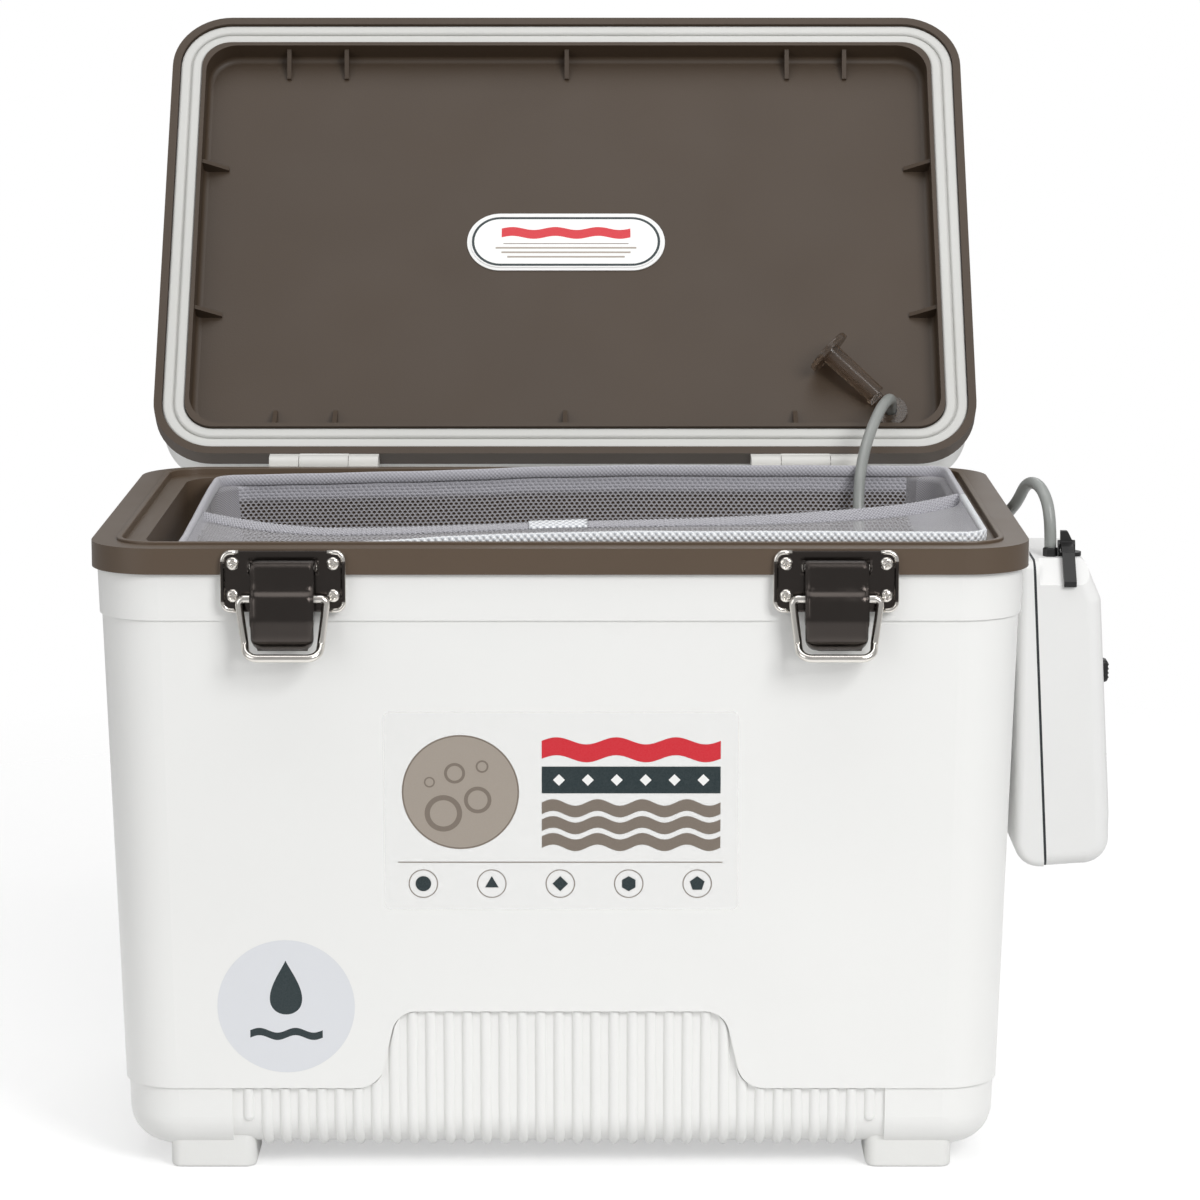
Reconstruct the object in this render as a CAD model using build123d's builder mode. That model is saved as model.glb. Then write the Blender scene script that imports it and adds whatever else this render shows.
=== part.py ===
"""Live-bait cooler: an insulated tub with a hinged lid, a mesh bait net and a clip-on air pump.

The lid is modelled shut and then swung open about its hinge pins, which is how the cooler rests here.
X runs to the right, Y to the back and Z up. Everything is built round the tub's centre line, and
the finished pieces are moved together so that the origin is under the middle of the whole object.
"""

import os
from math import atan2, cos, degrees, pi, radians, sin, tan

from build123d import *

# ---------------------------------------------------------------- driving sizes, in millimetres
# tub and collar
collar_width = 410.0  # over the collar, left to right
collar_depth = 262.0  # over the collar, front to back
collar_top = 282.0  # over the floor
collar_corner = 30.0
draft = 1.75  # lean of the tub's outer walls, in degrees
skirt_height = 11.4
skirt_wall = 1.8
skirt_gap = 0.2  # between the skirt and the shell that it hides
rim_width = 22.5  # from the collar's outer face to the opening
rim_thick = 2.5
bead_inset = 11.0
bead_width = 2.5
bead_height = 1.2
shelf_drop = 2.0

# outer shell
shell_wall = 3.5
shell_floor = 8.5  # underside over the floor
band_height = 20.6  # plain band under the skirt
band_step = 1.0
base_line = 38.7  # top of the ribbed base at the sides
base_step = 1.2
base_round = 17.0
arch_top = 74.0  # top of the ribbed base in the middle
arch_top_half = 72.3
arch_foot_half = 80.5
arch_outer_round = 11.0
arch_inner_round = 12.0
rib_pitch = 8.1
rib_width = 4.8
rib_count = 35
rib_height = 1.8
rib_gap = 0.6  # between a rib's end and the edge above it
rib_middle = -0.7  # middle of the row of ribs
rib_tail = 5.0  # how far a rib runs on under the tub
field_left = -145.6  # the sunk panel that carries the ribs
field_right = 143.7
field_depth = 1.6

# liner
liner_wall = 2.5
liner_draft = 2.5
liner_floor = 36.0
liner_round = 14.0
liner_corner = 20.0
foam_gap = 0.2

# feet
foot_width = 38.0
foot_depth = 36.0
foot_side = 154.9  # middle of a foot from the tub's centre line
foot_front = 95.2
foot_round = 5.0

# lid
lid_gap = 0.3  # between the shut lid and the collar
lid_height = 40.0
lid_skirt = 10.7
lid_wall = 3.0
lid_crown = 9.0  # rounding of the lid's top edge
gasket_inset = 4.0
gasket_width = 11.5
channel_depth = 4.5
channel_wall = 2.0
gasket_height = 3.2
pan_inset = 17.5
pan_depth = 12.5
pan_wall = 2.5
pan_corner = 16.0
gusset_length = 13.0
gusset_thick = 2.2
gusset_height = 9.0
badge_length = 98.0
badge_width = 31.0
badge_border = 1.6
badge_thick = 1.0

# lid hinges
hinge_half = 119.0  # middle of each hinge from the centre line
hinge_width = 54.0
knuckle_width = 14.8  # each outer knuckle
knuckle_gap = 0.3
barrel_radius = 4.5
hinge_pin_radius = 2.0
hinge_offset = 6.0  # pin line behind the collar
hinge_rise = 0.5  # pin line over the collar's top
leaf_thick = 2.5
leaf_height = 23.0
open_angle = 127.0

# draw latches
latch_half = 119.2
plate_width = 53.7
plate_height = 26.6
plate_top_drop = 0.8
plate_thick = 1.2
curl_height = 1.6
ear_inner_half = 14.0
ear_thick = 1.0
ear_radius = 2.6
latch_pin_out = 5.6  # pin line in front of the collar
latch_pin_drop = 7.2  # pin line under the collar's top
latch_pin_radius = 1.4
lever_width = 27.5
lever_length = 36.2  # from the pin line to the tip
lever_thick = 2.0
bail_wire = 3.5
bail_outer = 41.5
bail_end_width = 35.0
bail_reach = 26.7
bail_pivot_drop = 13.8  # under the latch pin
bail_pivot_out = 5.5
bail_eye_half = 12.4  # how far each wire end reaches into the lever
bail_hook = 6.1  # how far the wire's far end is bent over to catch the lid
bail_hook_length = 5.0
catch_width = 46.0  # recess in the lid's edge that the wire drops into
catch_inner = 26.0  # the lip stands higher between the wire's two legs
catch_depth = 2.6
catch_lip = 1.8
running_gap = 0.05
screw_head_radius = 2.8
screw_head = 1.4
screw_radius = 1.6
screw_length = 5.4
screw_side = 21.6  # from the fitting's middle
screw_high = 6.3  # under the collar's top
screw_low = 20.3
leaf_screw_rise = 15.5  # over the lid's lower edge
pad_width = 52.0  # moulded pads behind the latches and hinges
pad_depth = 4.4
pad_foot = 257.0
lid_pad_height = 11.0

# hose port and plug
port_side = 163.0
port_front = 31.0  # in front of the lid's back face
port_hole = 4.6  # radius
grommet_flange = 8.2  # radius
grommet_wall = 1.5
grommet_thick = 1.6
hose_radius = 2.75
plug_shaft = 5.3
plug_head = 12.0
plug_length = 31.0
plug_thick = 3.0
plug_side = 27.0  # the plug's head from the port, to the left
plug_forward = 24.0  # and towards the lid's front
strap_thick = 1.6

# net
net_width = 350.0
net_depth = 212.0
net_shift = 6.0  # stands to the right in the opening
net_corner = 16.0
net_skin = 1.2
net_top = 277.0
net_foot_gap = 0.4
net_taper = 2.2
hem_height = 5.0
hem_thick = 3.4
hoop_radius = 1.1
cover_thick = 1.0
cover_drop = 1.6  # under the hem's top
band_width = 6.5
band_thick = 1.8
cover_middle = -24.0  # the elastic edge at the middle
cover_end = 48.0  # and at the net's ends
tab_length = 28.0

# air pump
pump_half = 40.0
pump_top = 262.0
pump_foot = 119.5
pump_back = 207.5
seam_top = 214.3
seam_foot = 221.8
front_top = 245.3
front_foot = 250.9
shoulder_out = 237.6
shoulder_foot = 244.0
belly_height = 145.0
pump_back_round = 11.5
pump_front_round = 12.0
case_wall = 2.2
case_round = 7.0
back_edge_round = 4.0
scoop_width = 10.0  # hollowed shoulders at the front half's two upper corners
scoop_height = 11.0
seal_thick = 1.2
bracket_half = 30.0
bracket_plate = 2.0
bracket_foot = 214.0
cell_radius = 16.6
cell_length = 61.0
motor_radius = 12.0
outlet_out = 223.0
nut_radius = 3.4
clip_side = -22.0
switch_height = 204.5
switch_travel = 3.0
stone_radius = 8.0
stone_length = 26.0

# ---------------------------------------------------------------- places worked out from them
half_width = collar_width / 2
half_depth = collar_depth / 2
skirt_foot = collar_top - skirt_height
band_foot = skirt_foot - band_height
shell_inset = skirt_wall + skirt_gap
shell_top = collar_top - rim_thick - skirt_gap
slope = tan(radians(draft))
liner_slope = tan(radians(liner_draft))
lid_foot = collar_top + lid_gap
lid_top = lid_foot + lid_height
pan_floor = lid_foot + pan_depth
hinge_y = half_depth + hinge_offset
hinge_z = collar_top + hinge_rise
front_face = -half_depth
latch_pin_y = front_face - latch_pin_out
latch_pin_z = collar_top - latch_pin_drop
bail_pivot_y = front_face - bail_pivot_out
bail_pivot_z = latch_pin_z - bail_pivot_drop
port_y = half_depth - port_front
swing = Pos(0, hinge_y, hinge_z) * Rot(-open_angle, 0, 0) * Pos(0, -hinge_y, -hinge_z)

os.makedirs("parts", exist_ok=True)
pieces = {}
cords = ("hose_outer", "hose_through", "hose_inner", "airstone")


def keep(name, part, place=None):
    """File a finished piece under its name, swung open with the lid where a place is given."""
    pieces[name] = part if place is None else part.moved(place)


def level(z, inset, corner=None):
    """A level section at a height, inset all round from the collar's outline."""
    radius = max(collar_corner - inset, 6.0) if corner is None else corner
    with BuildSketch(Plane.XY.offset(z)) as outline:
        RectangleRounded(collar_width - 2 * inset, collar_depth - 2 * inset, radius)
    return outline.sketch


def shell_section(z, step=0.0):
    """The tub's outer outline at a height, drawn in by a step."""
    inset = shell_inset + (shell_top - z) * slope + step
    return level(z, inset, max(collar_corner - inset * 0.5, 8.0))


def core_section(z, more=0.0):
    """The hollow inside the outer shell at a height, drawn in by a gap."""
    inset = shell_inset + (shell_top - z) * slope + band_step + base_step + shell_wall + more
    return level(z, inset, max(collar_corner - inset * 0.5, 6.0))


def liner_section(z, out=0.0):
    """The liner's inside outline at a height, pushed out by a wall."""
    inset = rim_width + (collar_top - z) * liner_slope - out
    return level(z, inset, liner_corner + out)


def ring(foot, top, outer, inner, corner=None):
    """A level ring between two insets from the collar's outline."""
    with BuildPart() as band:
        extrude(level(foot, outer, corner), amount=top - foot)
        extrude(level(foot, inner, corner), amount=top - foot, mode=Mode.SUBTRACT)
    return band.part


def tub_screw_places():
    """Where the screws go into the tub, each with its Z along the shank and out of the wall."""
    latches = [
        Location((side * latch_half + x, front_face, z), (90, 0, 0))
        for side in (-1, 1)
        for x in (-screw_side, screw_side)
        for z in (collar_top - screw_high, collar_top - screw_low)
    ]
    hinges = [
        Location((side * hinge_half + x, half_depth, collar_top - screw_low), (-90, 0, 0))
        for side in (-1, 1)
        for x in (-screw_side, 0, screw_side)
    ]
    return latches + hinges


def lid_screw_places():
    """Where the screws go into the shut lid."""
    return [
        Location((side * hinge_half + x, half_depth, lid_foot + leaf_screw_rise), (-90, 0, 0))
        for side in (-1, 1)
        for x in (-screw_side, 0, screw_side)
    ]


def screws(places):
    """Pan-head screws at their places, each with its head on a steel plate or a hinge leaf."""
    with BuildPart() as group:
        for place in places:
            head_gap = plate_thick if place.position.Y < 0 else leaf_thick
            with BuildPart(mode=Mode.PRIVATE) as one:
                with Locations((0, 0, head_gap - screw_length / 2)):
                    Cylinder(screw_radius, screw_length)
                with Locations((0, 0, head_gap + screw_head / 2)):
                    Cylinder(screw_head_radius, screw_head)
                fillet(one.edges().filter_by(GeomType.CIRCLE).sort_by(Axis.Z)[-1], screw_head * 0.6)
            add(one.part.moved(place))
    return group.part


# ---------------------------------------------------------------- tub: outer shell
def wall_plane(front):
    """The plane of the base's front or back wall, with its origin at the base line."""
    side = -1 if front else 1
    inset = shell_inset + (shell_top - base_line) * slope + band_step + base_step
    lean = radians(draft)
    return Plane(
        origin=(0, side * (half_depth - inset), base_line),
        x_dir=(-side, 0, 0),
        z_dir=(0, side * cos(lean), -sin(lean)),
    )


arch_rise = (arch_top - base_line) / cos(radians(draft))
rib_radius = ((rib_width / 2) ** 2 + rib_height**2) / (2 * rib_height)
rib_sunk = field_depth + rib_radius - rib_height  # the rib's middle line under the smooth wall


def base_curve(front, depth, rise, tail):
    """A line down the base's wall, round its lower edge and on under the tub, sunk by a depth."""
    plane = wall_plane(front)
    middle = plane.origin - plane.z_dir * base_round
    middle += plane.y_dir * ((shell_floor + base_round - middle.Z) / plane.y_dir.Z)
    radius = base_round - depth
    inward = 1 if front else -1
    halfway = (plane.z_dir - Vector(0, 0, 1)).normalized()
    on_wall = middle + plane.z_dir * radius
    under = middle - Vector(0, 0, radius)
    top = plane.origin - plane.z_dir * depth + plane.y_dir * rise
    with BuildLine() as path:
        Line(top, on_wall)
        if tail is not None:
            ThreePointArc(on_wall, middle + halfway * radius, under)
            Line(under, under + Vector(0, inward * tail, 0))
    return path.line


def field_cutter(front):
    """Everything outside the sunk panel's surface, over the panel's width."""
    side = -1 if front else 1
    path = base_curve(front, field_depth, 60, rib_tail + 3)
    start = path @ 0
    end = path @ 1
    with BuildPart() as cutter:
        with BuildSketch(Plane.YZ.offset(field_left)):
            with BuildLine():
                add(Plane.YZ.to_local_coords(path))
                Polyline(
                    (end.Y, end.Z), (end.Y, -5), (side * half_depth, -5), (side * half_depth, start.Z), (start.Y, start.Z),
                )
            make_face()
        extrude(amount=field_right - field_left)
    return cutter.part


with BuildSketch() as arch_outline:
    with BuildLine():
        Polyline(
            (-arch_foot_half - 45, -12),
            (-arch_foot_half - 45, 0),
            (-arch_foot_half, 0),
            (-arch_top_half, arch_rise),
            (arch_top_half, arch_rise),
            (arch_foot_half, 0),
            (arch_foot_half + 45, 0),
            (arch_foot_half + 45, -12),
            close=True,
        )
    make_face()
    corners = arch_outline.vertices()
    fillet(corners.filter_by_position(Axis.Y, arch_rise - 1, arch_rise + 1), arch_outer_round)
    feet_of_arch = arch_outline.vertices().filter_by_position(Axis.Y, -0.5, 0.5)
    fillet(feet_of_arch.filter_by_position(Axis.X, -arch_foot_half - 1, arch_foot_half + 1), arch_inner_round)

with BuildPart() as tub_form:
    loft(sections=[shell_section(base_line, band_step), shell_section(band_foot, band_step)])
    loft(sections=[shell_section(band_foot), shell_section(shell_top)])
    loft(
        sections=[
            shell_section(shell_floor, band_step + base_step),
            shell_section(base_line, band_step + base_step),
        ]
    )
    fillet(tub_form.faces().sort_by(Axis.Z)[0].edges(), base_round)
    for front in (True, False):
        with BuildSketch(wall_plane(front)):
            add(arch_outline.sketch)
        extrude(amount=4, mode=Mode.SUBTRACT)
        with BuildPart(mode=Mode.PRIVATE) as field:
            with BuildSketch(wall_plane(front)):
                add(arch_outline.sketch)
                Rectangle(400, 60, align=(Align.CENTER, Align.MAX))
            extrude(amount=40, both=True)
            add(field_cutter(front), mode=Mode.INTERSECT)
        add(field.part, mode=Mode.SUBTRACT)

with BuildPart() as outer_shell:
    add(tub_form.part)
    for side, half in ((-1, latch_half), (1, hinge_half)):
        for x in (-half, half):
            with Locations((x, side * (half_depth - pad_depth / 2), (pad_foot + skirt_foot - foam_gap) / 2)):
                Box(pad_width, pad_depth, skirt_foot - foam_gap - pad_foot)
    for front in (True, False):
        plane = wall_plane(front)
        with BuildPart(mode=Mode.PRIVATE) as ribs:
            for tail in (rib_tail, None):
                path = base_curve(front, rib_sunk, arch_rise + 5, tail)
                with BuildPart(mode=Mode.PRIVATE) as rib:
                    with BuildSketch(Plane(path @ 0, z_dir=-plane.y_dir)):
                        Circle(rib_radius)
                    sweep(path=path)
                    with Locations(path @ 1):
                        Sphere(rib_radius)
                places = [rib_middle + (i - (rib_count - 1) / 2) * rib_pitch for i in range(rib_count)]
                over_foot = foot_side - foot_width / 2 - rib_radius
                with Locations(*[(x, 0, 0) for x in places if (abs(x) < over_foot) == (tail is not None)]):
                    add(rib.part)
            with BuildSketch(plane):
                add(arch_outline.sketch)
                Rectangle(400, 60, align=(Align.CENTER, Align.MAX))
                offset(amount=-rib_gap, mode=Mode.REPLACE)
            extrude(amount=40, both=True, mode=Mode.INTERSECT)
        add(ribs.part)
    with BuildPart(mode=Mode.PRIVATE) as core:
        loft(sections=[core_section(shell_floor + shell_wall), core_section(shell_top + 1)])
        fillet(core.faces().sort_by(Axis.Z)[0].edges(), base_round - shell_wall)
    add(core.part, mode=Mode.SUBTRACT)
    with Locations(*tub_screw_places()):
        Cylinder(screw_radius, 2 * screw_length, mode=Mode.SUBTRACT)
keep("outer_shell", outer_shell.part)

# ---------------------------------------------------------------- tub: liner, foam and feet
shelf_foot = collar_top - rim_thick - shelf_drop

with BuildPart() as liner_form:
    loft(
        sections=[
            liner_section(liner_floor - liner_wall, liner_wall),
            liner_section(collar_top - shelf_drop, liner_wall),
        ]
    )
    fillet(liner_form.faces().sort_by(Axis.Z)[0].edges(), liner_round + liner_wall)

with BuildPart() as tub_liner:
    add(liner_form.part)
    extrude(level(collar_top - rim_thick, 0), amount=rim_thick)
    extrude(level(shelf_foot, bead_inset - 1, collar_corner - 8), amount=rim_thick)
    extrude(level(collar_top - shelf_drop, bead_inset + bead_width), amount=shelf_drop, mode=Mode.SUBTRACT)
    add(ring(skirt_foot, collar_top, 0, skirt_wall))
    add(ring(collar_top, collar_top + bead_height, bead_inset, bead_inset + bead_width))
    fillet(tub_liner.edges().filter_by_position(Axis.Z, collar_top + bead_height, collar_top + bead_height), 0.5)
    with BuildPart(mode=Mode.PRIVATE) as well:
        loft(sections=[liner_section(liner_floor), liner_section(collar_top + 2)])
        fillet(well.faces().sort_by(Axis.Z)[0].edges(), liner_round)
    add(well.part, mode=Mode.SUBTRACT)
    with Locations(*tub_screw_places()):
        Cylinder(screw_radius, 2 * screw_length, mode=Mode.SUBTRACT)
keep("tub_liner", tub_liner.part)

with BuildPart() as tub_foam:
    loft(
        sections=[
            core_section(shell_floor + shell_wall + foam_gap, foam_gap),
            core_section(shelf_foot - foam_gap, foam_gap),
        ]
    )
    fillet(tub_foam.faces().sort_by(Axis.Z)[0].edges(), base_round - shell_wall)
    with BuildPart(mode=Mode.PRIVATE) as liner_space:
        loft(
            sections=[
                liner_section(liner_floor - liner_wall - foam_gap, liner_wall + foam_gap),
                liner_section(collar_top, liner_wall + foam_gap),
            ]
        )
        fillet(liner_space.faces().sort_by(Axis.Z)[0].edges(), liner_round + liner_wall)
    add(liner_space.part, mode=Mode.SUBTRACT)
keep("tub_foam", tub_foam.part)

for side, side_name in ((-1, "left"), (1, "right")):
    for end, end_name in ((-1, "front"), (1, "back")):
        with BuildPart() as foot:
            with BuildSketch():
                with Locations((side * foot_side, end * foot_front)):
                    RectangleRounded(foot_width, foot_depth, foot_round)
            extrude(amount=shell_floor + base_round * 0.4)
            fillet(foot.faces().sort_by(Axis.Z)[0].edges(), 1.5)
            add(tub_form.part, mode=Mode.SUBTRACT)
        keep(f"foot_{end_name}_{side_name}", foot.part)

# ---------------------------------------------------------------- lid, modelled shut
channel_roof = lid_foot + channel_depth
lid_shell_foot = channel_roof + channel_wall + foam_gap
port_place = Location((port_side, port_y, pan_floor))

with BuildPart() as gusset:
    with BuildSketch(Plane.XZ):
        with BuildLine():
            Polyline((-1, 0), (gusset_length, 0), (gusset_length, -1.5), (0, -gusset_height), (-1, -gusset_height), close=True)
        make_face()
    extrude(amount=gusset_thick / 2, both=True)

pan_half_width = half_width - pan_inset - 0.4
pan_half_depth = half_depth - pan_inset - 0.4
gusset_places = [
    Location((x, side * pan_half_depth, pan_floor), (0, 0, -90 * side))
    for side in (-1, 1)
    for x in (-145, -115, 0, 115, 145)
    if not (side > 0 and x == 145)
] + [
    Location((side * pan_half_width, y, pan_floor), (0, 0, 90 + 90 * side))
    for side in (-1, 1)
    for y in (-44, 44)
]

with BuildPart() as lid_pan:
    extrude(level(lid_foot, 0), amount=channel_depth + channel_wall)
    extrude(level(lid_foot, pan_inset - pan_wall, pan_corner + pan_wall), amount=pan_depth + pan_wall)
    add(ring(channel_roof, lid_foot + lid_skirt, 0, skirt_wall))
    add(ring(lid_foot, channel_roof, gasket_inset, gasket_inset + gasket_width), mode=Mode.SUBTRACT)
    with BuildPart(mode=Mode.PRIVATE) as pan_space:
        loft(sections=[level(lid_foot - 1, pan_inset, pan_corner), level(pan_floor, pan_inset + 0.4, pan_corner)])
        fillet(pan_space.faces().sort_by(Axis.Z)[-1].edges(), 3)
    add(pan_space.part, mode=Mode.SUBTRACT)
    with Locations(*gusset_places):
        add(gusset.part)
    with Locations(port_place):
        Cylinder(port_hole, 4 * pan_wall, mode=Mode.SUBTRACT)
    with BuildPart(mode=Mode.PRIVATE) as catch:
        low = (Align.CENTER, Align.MIN, Align.MIN)
        Box(catch_width, catch_depth + 1, lid_skirt, align=low)
        Box(catch_inner, catch_depth + 1, catch_lip / 2, align=low, mode=Mode.SUBTRACT)
    with Locations(
        (-latch_half, front_face - 1, lid_foot + catch_lip / 2),
        (latch_half, front_face - 1, lid_foot + catch_lip / 2),
    ):
        add(catch.part, mode=Mode.SUBTRACT)
keep("lid_pan", lid_pan.part, swing)

with BuildPart() as lid_shell:
    loft(
        sections=[
            level(lid_shell_foot, shell_inset, collar_corner - shell_inset),
            level(lid_top, shell_inset + (lid_top - lid_shell_foot) * slope, collar_corner - shell_inset),
        ]
    )
    fillet(lid_shell.faces().sort_by(Axis.Z)[-1].edges(), lid_crown)
    lid_pad_z = lid_foot + lid_skirt + foam_gap + lid_pad_height / 2
    with Locations(
        (-hinge_half, half_depth - pad_depth / 2, lid_pad_z),
        (hinge_half, half_depth - pad_depth / 2, lid_pad_z),
    ):
        Box(pad_width, pad_depth, lid_pad_height)
    with BuildPart(mode=Mode.PRIVATE) as lid_space:
        loft(
            sections=[
                level(lid_shell_foot, shell_inset + lid_wall, collar_corner - shell_inset - lid_wall),
                level(
                    lid_top - lid_wall,
                    shell_inset + lid_wall + (lid_top - lid_shell_foot) * slope,
                    collar_corner - shell_inset - lid_wall,
                ),
            ]
        )
        fillet(lid_space.faces().sort_by(Axis.Z)[-1].edges(), lid_crown - lid_wall)
    add(lid_space.part, mode=Mode.SUBTRACT)
    with Locations(port_place):
        Cylinder(port_hole, 4 * lid_height, mode=Mode.SUBTRACT)
    with Locations(*lid_screw_places()):
        Cylinder(screw_radius, 2 * screw_length, mode=Mode.SUBTRACT)
keep("lid_shell", lid_shell.part, swing)

with BuildPart() as lid_foam:
    inner = shell_inset + lid_wall + foam_gap
    loft(
        sections=[
            level(lid_shell_foot, inner, collar_corner - inner),
            level(lid_top - lid_wall - foam_gap, inner + (lid_top - lid_shell_foot) * slope, collar_corner - inner),
        ]
    )
    fillet(lid_foam.faces().sort_by(Axis.Z)[-1].edges(), lid_crown - lid_wall)
    extrude(
        level(lid_shell_foot - 1, pan_inset - pan_wall - foam_gap, pan_corner + pan_wall),
        amount=pan_floor + pan_wall + foam_gap - lid_shell_foot + 1,
        mode=Mode.SUBTRACT,
    )
    with Locations(port_place):
        Cylinder(port_hole, 4 * lid_height, mode=Mode.SUBTRACT)
keep("lid_foam", lid_foam.part, swing)

with BuildPart() as lid_gasket:
    lobe = gasket_width / 2 - 0.4
    add(ring(channel_roof - 1.4, channel_roof, gasket_inset, gasket_inset + gasket_width))
    for inset in (gasket_inset + 0.1, gasket_inset + gasket_width - lobe - 0.1):
        add(ring(channel_roof - gasket_height, channel_roof, inset, inset + lobe))
    low = channel_roof - gasket_height
    fillet(lid_gasket.edges().filter_by_position(Axis.Z, low - 0.01, low + 0.01), 1.4)
keep("lid_gasket", lid_gasket.part, swing)

with BuildPart() as lid_badge:
    with BuildSketch(Plane.XY.offset(pan_floor - badge_thick * 0.6)):
        SlotOverall(badge_length + 2 * badge_border, badge_width + 2 * badge_border)
    extrude(amount=badge_thick * 0.6)
    with BuildSketch(Plane.XY.offset(pan_floor - badge_thick)):
        SlotOverall(badge_length, badge_width)
    extrude(amount=badge_thick)
keep("lid_badge", lid_badge.part, swing)

# ---------------------------------------------------------------- lid hinges
middle_knuckle = hinge_width - 2 * knuckle_width
outer_knuckle_x = (middle_knuckle + knuckle_width) / 2
hinge_line = Plane(origin=(0, hinge_y, hinge_z), x_dir=(0, 1, 0), z_dir=(1, 0, 0))

for side, side_name in ((-1, "left"), (1, "right")):
    centre = side * hinge_half
    with BuildPart() as tub_leaf:
        with Locations((centre, half_depth + leaf_thick / 2, collar_top - 0.5 - leaf_height / 2)):
            Box(hinge_width, leaf_thick, leaf_height)
        for x in (-outer_knuckle_x, outer_knuckle_x):
            with BuildSketch(hinge_line.offset(centre + x - (knuckle_width - knuckle_gap) / 2)):
                Circle(barrel_radius)
                with Locations((-hinge_offset / 2, -barrel_radius / 2)):
                    Rectangle(hinge_offset, barrel_radius)
            extrude(amount=knuckle_width - knuckle_gap)
        with Locations(Location((centre, hinge_y, hinge_z), (0, 90, 0))):
            Cylinder(barrel_radius + knuckle_gap, middle_knuckle, mode=Mode.SUBTRACT)
            Cylinder(hinge_pin_radius, hinge_width + 2, mode=Mode.SUBTRACT)
        with Locations(*tub_screw_places()):
            Cylinder(screw_radius, 2 * screw_length, mode=Mode.SUBTRACT)
    keep(f"hinge_tub_leaf_{side_name}", tub_leaf.part)

    with BuildPart() as lid_leaf:
        with Locations((centre, half_depth + leaf_thick / 2, lid_foot + 0.5 + leaf_height / 2)):
            Box(hinge_width, leaf_thick, leaf_height)
        with BuildSketch(hinge_line.offset(centre - (middle_knuckle - knuckle_gap) / 2)):
            Circle(barrel_radius)
            with Locations((-hinge_offset / 2, barrel_radius / 2)):
                Rectangle(hinge_offset, barrel_radius)
        extrude(amount=middle_knuckle - knuckle_gap)
        for x in (-outer_knuckle_x, outer_knuckle_x):
            with Locations(Location((centre + x, hinge_y, hinge_z), (0, 90, 0))):
                Cylinder(barrel_radius + knuckle_gap, knuckle_width, mode=Mode.SUBTRACT)
        with Locations(Location((centre, hinge_y, hinge_z), (0, 90, 0))):
            Cylinder(hinge_pin_radius + running_gap, hinge_width + 2, mode=Mode.SUBTRACT)
        with Locations(*lid_screw_places()):
            Cylinder(screw_radius, 2 * screw_length, mode=Mode.SUBTRACT)
    keep(f"hinge_lid_leaf_{side_name}", lid_leaf.part, swing)

    with BuildPart() as hinge_pin:
        with Locations(Location((centre, hinge_y, hinge_z), (0, 90, 0))):
            Cylinder(hinge_pin_radius, hinge_width - 1)
    keep(f"hinge_pin_{side_name}", hinge_pin.part)

# ---------------------------------------------------------------- draw latches
plate_top = collar_top - plate_top_drop
plate_z = plate_top - plate_height / 2
plate_front = front_face - plate_thick
lever_side = Plane(origin=(0, latch_pin_y, latch_pin_z), x_dir=(0, -1, 0), z_dir=(-1, 0, 0))


def lever_profile(wall=0.0):
    """The pressed lever seen from the side, X out of the wall and Y up, from the pin line."""
    with BuildSketch() as outline:
        with BuildLine():
            Polyline(
                (3.0, 2.4), (3.2, -8.5), (6.6, -12.5), (7.4, -22.0), (5.6, -31.0),
                (2.2, -lever_length), (-1.6, -lever_length), (-2.4, -9.0), (-3.0, 2.4), close=True,
            )
        make_face()
        fillet(outline.vertices().sort_by(Axis.X)[-2:], 3)
        if wall:
            offset(amount=-wall, kind=Kind.INTERSECTION, mode=Mode.REPLACE)
            with Locations((-2.2, -lever_length / 2 - 3)):
                Rectangle(4.4, lever_length - 14)
    return outline.sketch


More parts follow.
